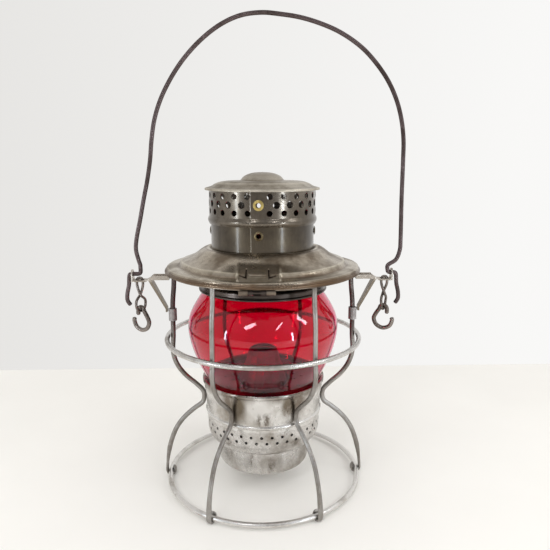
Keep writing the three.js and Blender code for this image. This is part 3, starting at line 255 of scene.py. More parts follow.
# %% [markdown]
# ## Finishes
# Sheet and wire are tin plate on steel. Handling leaves bright places where hands rub, brown smudges
# where moisture sat, and dark specks where the tin is gone. One recipe makes all steel parts: a base
# colour, smudges by slow noise, specks by small cells, scratches by stretched noise, and roughness
# that follows the smudges. Each part then only changes the numbers.

# %% Worn steel recipe
def worn_steel(name, bright, dull, speck, shine, stain_and_sheen=(0.45, 0.62), speck_size=0.16, metal=1.0,
               grain=(60, 60, 60), grain_share=0.25, dent=0.25):
    """Tin plate or patina. bright, dull and speck are colours, shine the range of roughness."""
    finish = Finish(name)
    place = finish.place
    slow = place.noise(26, 5, 0.62).between(*stain_and_sheen)
    fine = place.stretched(*grain).noise(9, 6, 0.6).between(0.3, 0.75)
    finish.colour = slow.blend(bright, dull)
    finish.paint(fine * grain_share, tuple(c * 0.62 for c in dull))
    patches = place.noise(60, 3).between(0.5, 0.6)
    finish.paint(place.cells(420).between(0.0, speck_size, 1.0, 0.0) * patches, speck)
    shiny, matt = ((roughness,) * 3 for roughness in shine)
    finish.fill({"Metallic": metal, "Roughness": slow.blend((fine * 0.4).blend(shiny, matt), matt)})
    finish.bump(fine, dent)
    return finish


FINE = (140, 140, 140)
worn_steel("frame_tin", (0.69, 0.67, 0.65), (0.33, 0.295, 0.255), (0.15, 0.115, 0.085), (0.24, 0.42),
           stain_and_sheen=(0.48, 0.66), grain_share=0.42, speck_size=0.24, dent=0.09)
worn_steel("hood_tin", (0.475, 0.415, 0.335), (0.19, 0.148, 0.105), (0.09, 0.073, 0.058), (0.23, 0.42),
           stain_and_sheen=(0.43, 0.58), grain=(30, 30, 70), grain_share=0.4, dent=0.06)
worn_steel("cap_tin", (0.49, 0.445, 0.375), (0.22, 0.185, 0.14), (0.12, 0.10, 0.08), (0.34, 0.54),
           stain_and_sheen=(0.42, 0.60), grain=(95, 95, 95), grain_share=0.3, dent=0.35)
worn_steel("chimney_tin", (0.105, 0.083, 0.056), (0.055, 0.042, 0.028), (0.05, 0.038, 0.028),
           (0.26, 0.40), grain=(60, 60, 6), dent=0.04)
worn_steel("vent_tin", (0.215, 0.182, 0.145), (0.105, 0.084, 0.06), (0.06, 0.047, 0.036), (0.20, 0.36),
           stain_and_sheen=(0.42, 0.6), grain=(60, 60, 20), grain_share=0.35, dent=0.0)
worn_steel("blued_steel", (0.11, 0.09, 0.08), (0.058, 0.046, 0.04), (0.10, 0.07, 0.05), (0.22, 0.4),
           grain=(12, 12, 90))
worn_steel("burner_steel", (0.30, 0.27, 0.25), (0.18, 0.155, 0.14), (0.10, 0.08, 0.07), (0.35, 0.55))
worn_steel("dark_wire", (0.15, 0.115, 0.115), (0.075, 0.055, 0.05), (0.20, 0.16, 0.14), (0.34, 0.55))
worn_steel("link_wire", (0.34, 0.30, 0.275), (0.15, 0.122, 0.105), (0.45, 0.40, 0.37), (0.26, 0.46),
           stain_and_sheen=(0.40, 0.62), grain=FINE, grain_share=0.4, dent=0.1)
worn_steel("brass", (0.60, 0.47, 0.17), (0.33, 0.24, 0.09), (0.10, 0.07, 0.04), (0.28, 0.5))
worn_steel("dull_brass", (0.17, 0.13, 0.07), (0.09, 0.07, 0.045), (0.07, 0.05, 0.035), (0.3, 0.5))
# A lighter copy of the frame tin for the base ring: its extra lightness is a painted highlight for the ring's lit
# top.
worn_steel("lit_ring_tin", (0.82, 0.80, 0.775), (0.36, 0.32, 0.28), (0.16, 0.125, 0.095), (0.26, 0.44),
           stain_and_sheen=(0.52, 0.68), grain=FINE, grain_share=0.4, speck_size=0.28, dent=0.06)
# A darker brown copy of the tin for the top ring and hinge straps under the hood rim: its darkness is painted
# shade.
worn_steel("under_rim_shade_tin", (0.27, 0.22, 0.175), (0.13, 0.10, 0.075), (0.08, 0.06, 0.045), (0.3, 0.5), dent=0.06)
worn_steel("clip_tin", (0.50, 0.475, 0.47), (0.30, 0.27, 0.26), (0.16, 0.13, 0.11), (0.5, 0.66),
           metal=0.75, dent=0.1)
for name in ("chimney_tin", "vent_tin"):
    finishes[name].fill({"Coat Weight": 0.6, "Coat Roughness": 0.16})
print("steel finishes:", ", ".join(finishes))

# %% [markdown]
# Proud edges catch the light and grooves lie in shade, and both are painted into the colour. So the hood
# gets painted highlights, pale lines on its step, brim edge and panel shoulders and at the foot of the
# collar, and painted shade, brown lines in its grooves, under the brim and over its rim. They are placed
# by the distance from the axis and broken up by noise, so that no line is even. The cap gets the same:
# painted highlights on its edge and raised ring, painted shade in its grooves and over its dome.

# %% Hood and cap finish
PANEL_MIDDLE, PANEL_HALF = -3.4, 15.0
SLIT_HEIGHT, SLIT_ENDS = 186.9, ((-11.6, -17.0), (3.2, 8.7))


def hood_highlights_and_shade(hood):
    x, y, z = hood.axes()
    out = (x * x + y * y).math("SQRT")
    beside_panel = abs(x - PANEL_MIDDLE)
    off_panel = beside_panel.between(14.5, 16.5).highest(y.between(-40, -30))
    shoulder_highlight = beside_panel.ridge(15.2, 1.6) * y.between(-50, -45, 1.0, 0.0) * out.between(57, 66)
    shoulder_highlight = shoulder_highlight * out.between(75.2, 76.2, 1.0, 0.0)
    painted_highlight = (out.ridge(64.8, 1.4) * off_panel).highest(shoulder_highlight)
    for radius, half, share in ((75.7, 0.9, 0.6), (71.5, 4.2, 0.35), (43.6, 1.3, 1.0)):
        painted_highlight = painted_highlight.highest(out.ridge(radius, half) * share)
    shade_under_brim = z.ridge(183.35, 1.1) * out.between(76.5, 76.8)
    painted_shade = (out.ridge(67.6, 1.4) * off_panel * 0.7).highest(shade_under_brim)
    painted_shade = painted_shade.highest(out.ridge(45.6, 0.8) * 0.8).highest(out.between(76.9, 77.3))
    # Painted highlights on the proud edges, broken up by noise.
    hood.paint(painted_highlight * hood.place.noise(150, 4, 0.65).between(0.3, 0.62, 0.35, 1.0), (0.60, 0.545, 0.44))
    # Painted shade in the grooves, under the brim and over the rim.
    hood.paint(painted_shade * 0.85, (0.12, 0.072, 0.042))


def slit_shade(hood):
    """The two short slits lie almost level, so a dark edge is painted along them as well."""
    x, y, z = hood.axes()
    for inner, outer in SLIT_ENDS:
        low, high = sorted((inner, outer))
        within = x.between(low - 0.2, low) * x.between(high, high + 0.2, 1.0, 0.0) * y.between(-58, -60)
        height = z - x.between(inner, outer, SLIT_HEIGHT, SLIT_HEIGHT + 1.4)
        hood.paint(height.ridge(0.0, 0.65) * within * 0.95, (0.045, 0.03, 0.022))


def cap_highlights_and_shade(cap):
    x, y, _ = cap.axes()
    out = (x * x + y * y).math("SQRT")
    broken = cap.place.noise(170, 4, 0.65).between(0.3, 0.6, 0.4, 1.0)
    painted_highlight = out.ridge(44.9, 0.8).highest(out.ridge(35.5, 2.5) * 0.6)
    painted_shade = out.ridge(17.8, 1.6).highest(out.ridge(41.5, 1.5) * 0.6)
    # Painted highlights on the cap's edge and raised ring.
    cap.paint(painted_highlight * broken, (0.66, 0.60, 0.50))
    # Painted shade in the cap's grooves and over its dome.
    cap.paint(painted_shade.highest(out.between(16.5, 13, 0.0, 0.5)) * broken, (0.16, 0.125, 0.09))


hood_highlights_and_shade(finishes["hood_tin"])
slit_shade(finishes["hood_tin"])
cap_highlights_and_shade(finishes["cap_tin"])
print("hood and cap worn")

# %% [markdown]
# The side and back wires are painted dark brown above the hoop, while the front ones stay bright. The
# object's own height and depth decide how much of the brown shows, with noise along the border so that no line is
# seen.
# In the same way the slanting struts under the ears get painted shade: below the arms they are painted browner.

# %% Guard wire and ear finish
def guard_wire_finish():
    wire = worn_steel("guard_wire", (0.45, 0.432, 0.414), (0.22, 0.192, 0.165), (0.10, 0.08, 0.065), (0.32, 0.5),
                      stain_and_sheen=(0.42, 0.64), speck_size=0.3, grain=FINE, grain_share=0.5, dent=0.10)
    x, y, z = wire.axes()
    streak = wire.place.noise(90, 3).between(0.25, 0.5, 0.55, 1.0)
    # Darker brown above the hoop on the side and back wires.
    wire.paint(z.between(112, 135) * y.between(-50, -20) * streak, (0.11, 0.085, 0.08))


def ear_finish():
    ear = worn_steel("ear_tin", (0.56, 0.51, 0.455), (0.36, 0.31, 0.255), (0.16, 0.125, 0.095), (0.34, 0.55),
                     stain_and_sheen=(0.5, 0.7))
    x, y, z = ear.axes()
    # Painted shade on the struts below the arms.
    ear.paint(z.between(173.5, 170.5, 0.0, 0.85), (0.20, 0.165, 0.125))


guard_wire_finish()
ear_finish()
print("wire and ears shaded")

# %% [markdown]
# The housing is the brightest tin. Beside each guard wire it is painted darker brown, and under the
# rolled rim it gets painted shade; a painted highlight runs along the bead. The angle round the axis,
# times three, gives a wave that is strongest at the six wires: that wave is the mask.

# %% Housing finish
def housing_finish():
    housing = worn_steel("housing_tin", (0.74, 0.725, 0.705), (0.38, 0.34, 0.29), (0.14, 0.105, 0.08), (0.22, 0.40),
                         stain_and_sheen=(0.52, 0.66), grain=(45, 45, 45), grain_share=0.35, dent=0.09)
    x, y, z = housing.axes()
    wave = abs((y.math("ARCTAN2", x) * 3.0).math("COSINE"))
    ragged = housing.place.stretched(1, 1, 0.35).noise(95, 5, 0.65).between(0.28, 0.52)
    beside_wires = wave.between(0.70, 0.94) * z.between(70, 81, 0.35, 1.0)
    # Darker brown beside the wires, and painted shade under the rolled rim (z 83 to 87.5).
    wire_brown_and_rim_shade = beside_wires.highest(z.between(83, 87.5) * 0.9) * z.between(65.5, 67.5)
    housing.paint(wire_brown_and_rim_shade * ragged * 0.9, (0.17, 0.135, 0.105))
    # Painted highlight along the bead.
    housing.paint(z.ridge(64.0, 1.7) * 0.8, (0.82, 0.80, 0.77))


def stain_and_sheen(finish, spots, colour, cover=(0.42, 0.6)):
    """Patches on the front, each with its x, z, half-width and half-height in mm and its share."""
    x, y, z = finish.axes()
    broken = finish.place.stretched(1, 1, 0.5).noise(190, 6, 0.75).between(*cover) * y.between(-20, -26)
    for middle_x, middle_z, half_x, half_z, share in spots:
        spot = x.ridge(middle_x, half_x) * z.ridge(middle_z, half_z)
        finish.paint(spot.between(0.0, 0.5) * broken * share, colour)


housing_finish()
# Painted highlight: a pale patch down the front middle of the housing.
stain_and_sheen(finishes["housing_tin"], [(-3.5, 79, 15, 14, 0.9)], (0.76, 0.745, 0.725), (0.15, 0.4))
stain_and_sheen(finishes["housing_tin"], [(0.1, 70.5, 9, 8, 0.9)], (0.13, 0.105, 0.08), (0.44, 0.56))
# Darker brown patches beside the two front wires.
stain_and_sheen(finishes["housing_tin"], [(-19.5, 81, 7, 13, 0.9), (19, 82, 7, 12, 0.9)], (0.15, 0.12, 0.085), (0.2, 0.5))
stain_and_sheen(finishes["frame_tin"], [(-29, 48.5, 7, 4.5, 0.8), (25, 49, 7, 4, 0.8), (-29, 33, 6, 8, 0.7),
                               (-9.4, 31, 2.5, 7, 0.8), (6, 28, 4, 8, 0.8)], (0.15, 0.125, 0.10))
print("housing, air band and fount stained")

# %% [markdown]
# ## Glass, cotton and cork
# The globe is coloured all through, so its colour belongs to the light that passes, and the surface
# stays clear and shiny. A faint bump gives the slow waves of old pressed glass. The wick is woven
# cotton with a charred top, and the filler washer is cork.

# %% Glass, cotton and cork
def globe_glass():
    glass = Finish("red_glass")
    red = glass.place.noise(14, 2).between(0.35, 0.65).blend((0.775, 0.008, 0.126), (0.675, 0.005, 0.093))
    glass.fill({"Base Color": red, "Transmission Weight": 1.0, "Roughness": 0.02, "IOR": 1.5})
    glass.bump(glass.place.stretched(1, 1, 0.6).noise(30, 1, 0.4), 0.06, 0.002)


def wick_cotton():
    cotton = Finish("cotton")
    weave = made(cotton.tree, "TexWave", {"Vector": cotton.place, "Scale": 700, "Distortion": 1.5}, "Fac")
    x, y, z = cotton.axes()
    cloth = weave.blend((0.60, 0.53, 0.41), (0.42, 0.36, 0.27))
    cotton.fill({"Base Color": z.between(104, 111).blend(cloth, (0.03, 0.025, 0.02)), "Roughness": 0.95})
    cotton.bump(weave, 0.5)


def washer_cork():
    cork = Finish("cork")
    grains = cork.place.cells(900).between(0.1, 0.6)
    cork.fill({"Base Color": grains.blend((0.22, 0.14, 0.09), (0.44, 0.31, 0.20)), "Roughness": 0.9})
    cork.bump(grains, 0.4)


def table_paint():
    paint = Finish("table_paint")
    cloudy = paint.place.noise(5, 4).between(0.35, 0.65)
    paint.fill({"Base Color": cloudy.blend((0.875, 0.855, 0.82), (0.905, 0.885, 0.85)), "Roughness": 0.55})


globe_glass()
wick_cotton()
washer_cork()
table_paint()
print("all finishes:", len(finishes))

# %% [markdown]
# ## Table top
# The table is a slab with softly rounded edges. It belongs to the picture.

# %% Table top
def table_top():
    width, front_edge, thick, soft = 1.6, -1.5, 0.03, 0.004
    shape = bmesh.new()
    low, high = Vector((-width, front_edge, -thick)), Vector((width, TABLE_BACK, 0))
    bmesh.ops.create_cube(shape, size=1, matrix=Matrix.Translation((low + high) / 2)
                          @ Matrix.Diagonal((*(high - low), 1)))
    bmesh.ops.bevel(shape, geom=shape.edges[:], offset=soft, segments=4, affect="EDGES")
    mesh = bpy.data.meshes.new("table_top")
    shape.to_mesh(mesh)
    mesh.materials.append(finishes["table_paint"].material)
    top = placed("table_top", mesh)


table_top()
print("table top set")

# %% [markdown]
# ## Dress the parts that keep their shape
# Ears, hinge, latch, clips and pins have their real shape already. They keep their mesh and get a
# finish and a narrow bevel: no real sheet edge is razor sharp, and a bevel catches the light.

# %% Finishes and bevels on kept parts
slot_of = {row["node"]: row["material_slot"] for row in frame["record"]["subparts"]}
EDGE = 0.18 * MM
own_finish = {"lid_hinge_pin": "blued_steel", "lid_hinge_lug": "blued_steel", "burner_dome": "burner_steel"}
for side in ("left", "right"):
    own_finish.update({f"ear_{side}": "ear_tin", f"strut_clip_{side}": "clip_tin",
                       # The hinge straps take the darker copy of the tin: painted shade under the hood rim.
                       f"lid_hinge_strap_{side}": "under_rim_shade_tin"})

for name, obj in nodes.items():
    obj.data.materials.clear()
    obj.data.materials.append(finishes[own_finish.get(name, slot_of[name])].material)
    edge = obj.modifiers.new("soft_edge", "BEVEL")
    edge.width, edge.segments, edge.limit_method = EDGE, 2, "ANGLE"
    edge.angle_limit = radians(35)
    edge.harden_normals = False
dome_edge = nodes["burner_dome"].modifiers["soft_edge"]
dome_edge.width, dome_edge.segments = 0.4 * MM, 3
print("dressed", len(nodes), "parts")

# %% [markdown]
# ## Helpers for new meshes
# Wire is a round section swept along a path. Spun sheet is a line turned about the upright axis.
# Punched sheet is a flat pattern wrapped round the same axis. The helpers take millimetres or metres
# as they say and give corners and faces in metres, where the real part is; piece() makes the object.

# %% Mesh helpers
SEAT, SHEET = 0.3, 0.9


def piece(name, form, finish, body, replaces, place=Matrix(), sharp=35):
    """An object of a form's corners and faces. It rides on a body and stands in for frame nodes."""
    corners, faces = form
    mesh = bpy.data.meshes.new(name)
    mesh.from_pydata([tuple(place @ c) for c in corners], [], faces)
    shape = bmesh.new()
    shape.from_mesh(mesh)
    bmesh.ops.remove_doubles(shape, verts=shape.verts, dist=1e-6)
    bmesh.ops.recalc_face_normals(shape, faces=shape.faces)
    shape.to_mesh(mesh)
    shape.free()
    mesh.polygons.foreach_set("use_smooth", [True] * len(mesh.polygons))
    mesh.set_sharp_from_angle(angle=radians(sharp))
    mesh.materials.append(finishes[finish].material)
    obj = placed(name, mesh)
    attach(obj, body)
    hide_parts(*replaces)


def through(points, steps=6, closed=False):
    """A smooth line through the points: centripetal Catmull-Rom, which never overshoots a bend."""
    points = [Vector(p) for p in points]
    if closed:
        wrapped = [points[-1], *points, points[0], points[1]]
    else:
        wrapped = [points[0] * 2 - points[1], *points, points[-1] * 2 - points[-2]]
    line = []
    for a, b, c, d in zip(wrapped, wrapped[1:], wrapped[2:], wrapped[3:]):
        t1 = sqrt((b - a).length)
        t2 = t1 + sqrt((c - b).length)
        t3 = t2 + sqrt((d - c).length)
        for k in range(steps):
            t = t1 + (t2 - t1) * k / steps
            a1 = a * ((t1 - t) / t1) + b * (t / t1)
            a2 = b * ((t2 - t) / (t2 - t1)) + c * ((t - t1) / (t2 - t1))
            a3 = c * ((t3 - t) / (t3 - t2)) + d * ((t - t2) / (t3 - t2))
            b1 = a1 * ((t2 - t) / t2) + a2 * (t / t2)
            b2 = a2 * ((t3 - t) / (t3 - t1)) + a3 * ((t - t1) / (t3 - t1))
            line.append(b1 * ((t2 - t) / (t2 - t1)) + b2 * ((t - t1) / (t2 - t1)))
    if not closed:
        line.append(points[-1])
    return line


def swept(line, size_at, sides=16, closed=False):
    """Corners and faces of wire along a line in metres. size_at gives the half-sizes across and out."""
    count = len(line)
    before = [line[-1] if closed else line[0], *line[:-1]]
    after = [*line[1:], line[0] if closed else line[-1]]
    tangents = [(b - a).normalized() for a, b in zip(before, after)]
    side = tangents[0].cross(Vector((0, 1, 0.01))).normalized()
    frames = []
    for i, tangent in enumerate(tangents):
        if i:
            side = (tangents[i - 1].rotation_difference(tangent) @ side).normalized()
        side = (side - tangent * side.dot(tangent)).normalized()
        frames.append(side.copy())
    twist = 0.0
    if closed:
        last = tangents[-1].rotation_difference(tangents[0]) @ frames[-1]
        twist = atan2(last.cross(frames[0]).dot(tangents[0]), last.dot(frames[0]))
    corners, faces = [], []
    for i, (centre, tangent) in enumerate(zip(line, tangents)):
        out = Matrix.Rotation(twist * i / count, 3, tangent) @ frames[i]
        across = tangent.cross(out)
        wide, thick = size_at(i / (count - 1), centre)
        here, following = i * sides, (i + 1) % count * sides
        for k in range(sides):
            beside, (x, y) = (k + 1) % sides, on_circle(1, 360 * k / sides)
            corners.append(centre + out * x * thick + across * y * wide)
            if closed or i < count - 1:
                faces.append((here + k, here + beside, following + beside, following + k))
    if not closed:
        faces += [tuple(reversed(range(sides))), tuple(range((count - 1) * sides, count * sides))]
    return corners, faces


def spun(profile, sides=144, forward=0.0):
    """Corners and faces of a closed profile of (radius, height) in mm, turned about an upright axis."""
    corners, faces = [], []
    for i in range(sides):
        x, y = on_circle(1, 360 * i / sides)
        corners += [Vector((radius * x, forward + radius * y, height)) * MM for radius, height in profile]
    count = len(profile)
    for i in range(sides):
        here, following = i * count, (i + 1) % sides * count
        for k in range(count):
            above = (k + 1) % count
            if profile[k][0] or profile[above][0]:
                faces.append((here + k, following + k, following + above, here + above))
    return corners, faces


def sheet_line(outer, thick=SHEET):
    """The closed profile of sheet whose outside is the line given."""
    inner = []
    for i, point in enumerate(outer):
        before, after = outer[max(i - 1, 0)], outer[min(i + 1, len(outer) - 1)]
        along = (Vector(after) - Vector(before)).normalized()
        radius = point[0] - along.y * thick
        inner.append((radius if radius > 0.001 else 0, point[1] + along.x * thick))
    return [*outer, *inner[::-1]]


def curve(points, steps):
    """A smooth profile through a few (radius, height) points."""
    return [tuple(p)[:2] for p in through([(*p, 0) for p in points], steps)]


def mixed(low, high, share):
    return low + (high - low) * share


def smooth(value):
    value = min(max(value, 0), 1)
    return value * value * (3 - 2 * value)


def on_circle(radius, degrees):
    turn = radians(degrees)
    return radius * cos(turn), radius * sin(turn)


print("mesh helpers ready")

# %% [markdown]
# ## Guard wires
# Six wires hang from the ring under the lid, bulge round the globe, pinch in to the housing where
# they are soldered, and splay out to the base ring, which each one wraps. There the smith flattened
# the wire into a strap, so the section changes along the sweep. The front wires are worn thinner.

# %% Guard wires
WIRE = 4.0
BASE_RADIUS, HOOP_RADIUS, HOOP_HEIGHT = 80.0, 78.5, 125.3
STRAP_FLAT, STRAP_WIDE = 2.4, 5.2
WRAP_RADIUS = WIRE / 2 + SEAT + STRAP_FLAT / 2
WRAP_STEPS, WRAP_TURN = 12, -22
BASE_HEIGHT = WRAP_RADIUS + STRAP_FLAT / 2 - 0.4
HOUSING = 47.6
WAIST_RADIUS, WAIST_HEIGHT = HOUSING + SEAT + WIRE / 2, 72.3
BELLY_RADIUS = HOOP_RADIUS - WIRE - SEAT
RING_RADIUS, RING_TOP, RING_DEPTH, RING_WIDTH = 75.0, 182.0, 2.8, 7.0
TOP_RADIUS, TOP_HEIGHT = RING_RADIUS - SHEET - SEAT - WIRE / 2, RING_TOP - SHEET - SEAT
# Shares of the way out and along, from the top to the belly, the belly to the waist, the waist down.
TOP_BENDS = [(0, 0), (0.25, 0.25), (0.8, 0.5), (1, 1)]
UPPER_BENDS = [(1.03, 0.76), (0.98, 0.62), (0.84, 0.475), (0.6, 0.335), (0.27, 0.2), (0.05, 0.09), (0, 0)]
LOWER_BENDS = [(0.045, 0.085), (0.25, 0.165), (0.51, 0.28), (0.72, 0.42), (0.862, 0.59), (0.955, 0.78)]


def guard_wire_line():
    top, belly = (TOP_RADIUS, TOP_HEIGHT), (BELLY_RADIUS, HOOP_HEIGHT)
    waist, foot = (WAIST_RADIUS, WAIST_HEIGHT), (BASE_RADIUS + WRAP_RADIUS, BASE_HEIGHT)
    spans = (top, belly, TOP_BENDS), (waist, belly, UPPER_BENDS), (waist, foot, LOWER_BENDS)
    points = [(mixed(start[0], end[0], out), mixed(start[1], end[1], along))
              for start, end, bends in spans for out, along in bends]
    for k in range(WRAP_STEPS):
        out, up = on_circle(WRAP_RADIUS, WRAP_TURN * k)
        points.append((BASE_RADIUS + out, BASE_HEIGHT + up))
    return through([(r * MM, 0, z * MM) for r, z in points], 7)


def guard_wire(wear):
    """One wire at the right-hand side. wear scales its section; the wrap is flat on the floor."""
    flat_from, flat_over = BASE_HEIGHT + WIRE * 2, WIRE * 3

    def size(share, centre):
        flat = min(max((flat_from + flat_over - centre.z / MM) / flat_over, 0), 1)
        scale = wear * MM * (1.0 if share < 0.985 else 0.75)
        return mixed(WIRE / 2, STRAP_WIDE / 2, flat) * scale, mixed(WIRE / 2, STRAP_FLAT / 2, flat) * scale

    corners, faces = swept(guard_wire_line(), size)
    return [Vector((c.x, c.y, max(c.z, 0.0))) for c in corners], faces


for i, side in enumerate(("right", "back_right", "back_left", "left", "front_left", "front_right")):
    piece(f"wire_{side}", guard_wire(0.89 if "front" in side else 1.0), "guard_wire", "guard_frame",
          (f"guard_wire_{side}",), Matrix.Rotation(i * pi / 3, 4, "Z"), sharp=50)
print("six guard wires bent")

# %% [markdown]
# ## Base ring, hoop and top ring
# Real rings are a little out of true, so the radius wanders by a fraction of a millimetre. Each has a
# soldered lap where its ends meet: on the hoop it is a small lump at the left front.

# %% Rings
def ring_line(radius, height, wander, count=240):
    line = []
    for i in range(count):
        turn = 2 * pi * i / count
        true = radius + wander * (sin(3 * turn + 0.7) + 0.6 * sin(5 * turn + 2.0))
        lift = wander * 0.5 * sin(4 * turn)
        line.append(Vector((true * cos(turn), true * sin(turn), height + lift)) * MM)
    return line


def ring_size(lap_turn, lap_swell, lap_degrees=2.6):
    def size(share, centre):
        away = (degrees(atan2(centre.y, centre.x)) - lap_turn + 180) % 360 - 180
        half = WIRE / 2 * MM * (1 + lap_swell * exp(-(away / lap_degrees) ** 2))
        return half, half
    return size


# The base ring takes the lighter copy of the tin: a painted highlight.
for name, node, finish, radius, height, wander, lap in (
        ("base_ring_wire", "base_ring", "lit_ring_tin", BASE_RADIUS, BASE_HEIGHT, 0.12, (-158, 0.05)),
        ("guard_hoop_wire", "guard_hoop", "frame_tin", HOOP_RADIUS, HOOP_HEIGHT, 0.1, (-144, 0.16))):
    ring = swept(ring_line(radius, height, wander), ring_size(*lap), closed=True)
    piece(name, ring, finish, "guard_frame", (node,))

top_ring = [(RING_RADIUS - inward, RING_TOP - down) for inward, down in (
    (0, RING_DEPTH), (0, 0.5), (0.15, 0.15), (0.5, 0), (RING_WIDTH, 0))]
# The top ring takes the darker copy of the tin: painted shade under the hood rim.
piece("top_ring_sheet", spun(sheet_line(top_ring), 128), "under_rim_shade_tin", "guard_frame", ("top_frame_ring",))
print("rings done")

# %% [markdown]
# ## Punched and pressed sheet
# The flat pattern comes first: across it runs the way round the lantern, and up it the way along the
# profile. Openings are cut into a triangle net that follows their edges. Then the net is wrapped
# round the axis and given its thickness. Round holes stay round without any boolean cutting.

# %% Pressed sheet helper
FRONT = -90.0
CLEAR = 0.3


def run_of(line):
    """Length along a profile at each of its points."""
    run = [0.0]
    for a, b in zip(line, line[1:]):
        run.append(run[-1] + (Vector(b) - Vector(a)).length)
    return run


def at_run(line, run, along):
    """The point of the profile and its direction after this length."""
    for a, b, low, high in zip(line, line[1:], run, run[1:]):
        if along <= high or high == run[-1]:
            share = min(max((along - low) / max(high - low, 1e-9), 0), 1)
            return Vector(a).lerp(Vector(b), share), (Vector(b) - Vector(a)).normalized()


def run_at_height(line, run, height):
    for a, b, low, high in zip(line, line[1:], run, run[1:]):
        if min(a[1], b[1]) <= height <= max(a[1], b[1]) and a[1] != b[1]:
            return low + (high - low) * (height - a[1]) / (b[1] - a[1])
    raise ValueError("no such height on this profile")


def round_hole(turn, along, radius, sides=20):
    """An opening as its turn in degrees and its (across, along) corners in mm."""
    rim = (on_circle(radius, 360 * k / sides) for k in range(sides))
    return turn, [(across, along + up) for across, up in rim]


def inside(x, y, outline):
    hit = False
    for (x0, y0), (x1, y1) in zip(outline, outline[1:] + outline[:1]):
        if (y0 > y) != (y1 > y) and x < (x1 - x0) * (y - y0) / (y1 - y0) + x0:
            hit = not hit
    return hit


def pressed(line, openings, columns=144, start=180.0, extra_turns=(), raise_at=None):
    """Sheet of revolution from a profile line in mm whose outside is on the right of its direction."""
    run = run_of(line)
    steps = [start + 360 * i / columns for i in range(columns + 1)]
    steps = sorted(steps + [t + 360 if t < start else t for t in extra_turns])
    loops = []
    for turn, outline in openings:
        turn = turn % 360
        turn = turn + 360 if turn < start % 360 else turn
        loops.append([(turn + degrees(x / at_run(line, run, y)[0].x), y) for x, y in outline])
    boxes = []
    for loop in loops:
        turns, heights = zip(*loop)
        boxes.append((min(turns), max(turns), min(heights), max(heights), loop))
    scale = radians(1) * line[0][0]
    spread = CLEAR / scale

    def holed(turn, along):
        return any(left < turn < right and low < along < high and inside(turn, along, loop)
                   for left, right, low, high, loop in boxes)

    def crowded(turn, along):
        """Too near to the edge of an opening for a corner of the net."""
        return any(left - spread < turn < right + spread and low - CLEAR < along < high + CLEAR
                   and min(hypot((turn - t) / spread * CLEAR, along - y) for t, y in loop) < CLEAR
                   for left, right, low, high, loop in boxes)

    flat = [(turn, along) for turn in steps for along in run if not (crowded(turn, along) or holed(turn, along))]
    edges = []
    for loop in loops:
        first = len(flat)
        flat += loop
        edges += [(first + i, first + (i + 1) % len(loop)) for i in range(len(loop))]
    points, _, triangles = delaunay_2d_cdt([Vector((t * scale, y)) for t, y in flat], edges, [], 0, 1e-7)[:3]

    welded, index, outer, inner = {}, [], [], []
    for x, along in points:
        turn = x / scale
        key = (round((turn - start) % 360 % 359.99999, 4), round(along, 4))
        if key not in welded:
            welded[key] = len(outer)
            here, forward = at_run(line, run, along)
            normal = Vector((forward.y, -forward.x))
            spot = here + normal * (raise_at(turn, along) if raise_at else 0)
            for side, (radius, height) in ((outer, spot), (inner, spot - normal * SHEET)):
                side.append(Vector((*on_circle(radius, turn), height)) * MM)
        index.append(welded[key])

    faces, sides, count = [], {}, len(outer)
    for corners in triangles:
        x, y = [sum(points[i][k] for i in corners) / 3 for k in (0, 1)]
        a, b, c = [index[i] for i in corners]
        if holed(x / scale, y) or len({a, b, c}) < 3:
            continue
        faces += [(a, b, c), (a + count, c + count, b + count)]
        sides.update(dict.fromkeys(((a, b), (b, c), (c, a))))
    faces += [(b, a, a + count, b + count) for a, b in sides if (b, a) not in sides]
    return outer + inner, faces


print("pressed sheet helper ready")

# %% [markdown]
# ## Burner housing and air band
# The housing is a spun shell with a rolled rim that holds the globe, and a bead below the wires. Its
# profile is drawn once, outside and inside, and turned about the axis.

# %% Housing
HOUSING_FLARE, BEAD_LOW, BEAD_TALL, FLARE_LOW, FLARE_TOP = 49.15, 62.7, 3.2, 72.3, 85.6
RIM_ROLL, RIM_HALF, RIM_MIDDLE = 1.55, 2.2, 89.9
housing_outer = [(47.7, 60.5), (HOUSING, 62.5)]
housing_outer += [(HOUSING + sin(pi * k / 8), BEAD_LOW + BEAD_TALL * k / 8) for k in range(9)]
housing_outer += [(HOUSING, 66.3), (HOUSING, FLARE_LOW)]
housing_outer += [(mixed(HOUSING, HOUSING_FLARE, (1 - cos(pi * k / 8)) / 2), mixed(FLARE_LOW, FLARE_TOP, k / 8))
                  for k in range(1, 9)]
rim = [on_circle(1, a) for a in range(0, 181, 15)]
rim = [(HOUSING_FLARE + RIM_ROLL * out, RIM_MIDDLE - RIM_HALF * down) for down, out in rim]
housing_outer += [(r, z) for r, z in rim if z <= 91.8]
housing_inner = [(r - SHEET, z) for r, z in housing_outer if z < 88.2]
housing_profile = housing_outer + [(48.2, 91.0), (48.35, 88.4)] + housing_inner[::-1]
piece("housing_shell", spun(housing_profile), "housing_tin", "guard_frame", ("burner_housing",))
print("housing shell from", housing_outer[0][1], "to", round(housing_outer[-1][1], 1), "mm")

# %% [markdown]
# Under the housing sits the air band, with two staggered rows of punched holes that draw air in for
# the flame. It turns in at the bottom to the mouth that the fount locks into, with three notches.

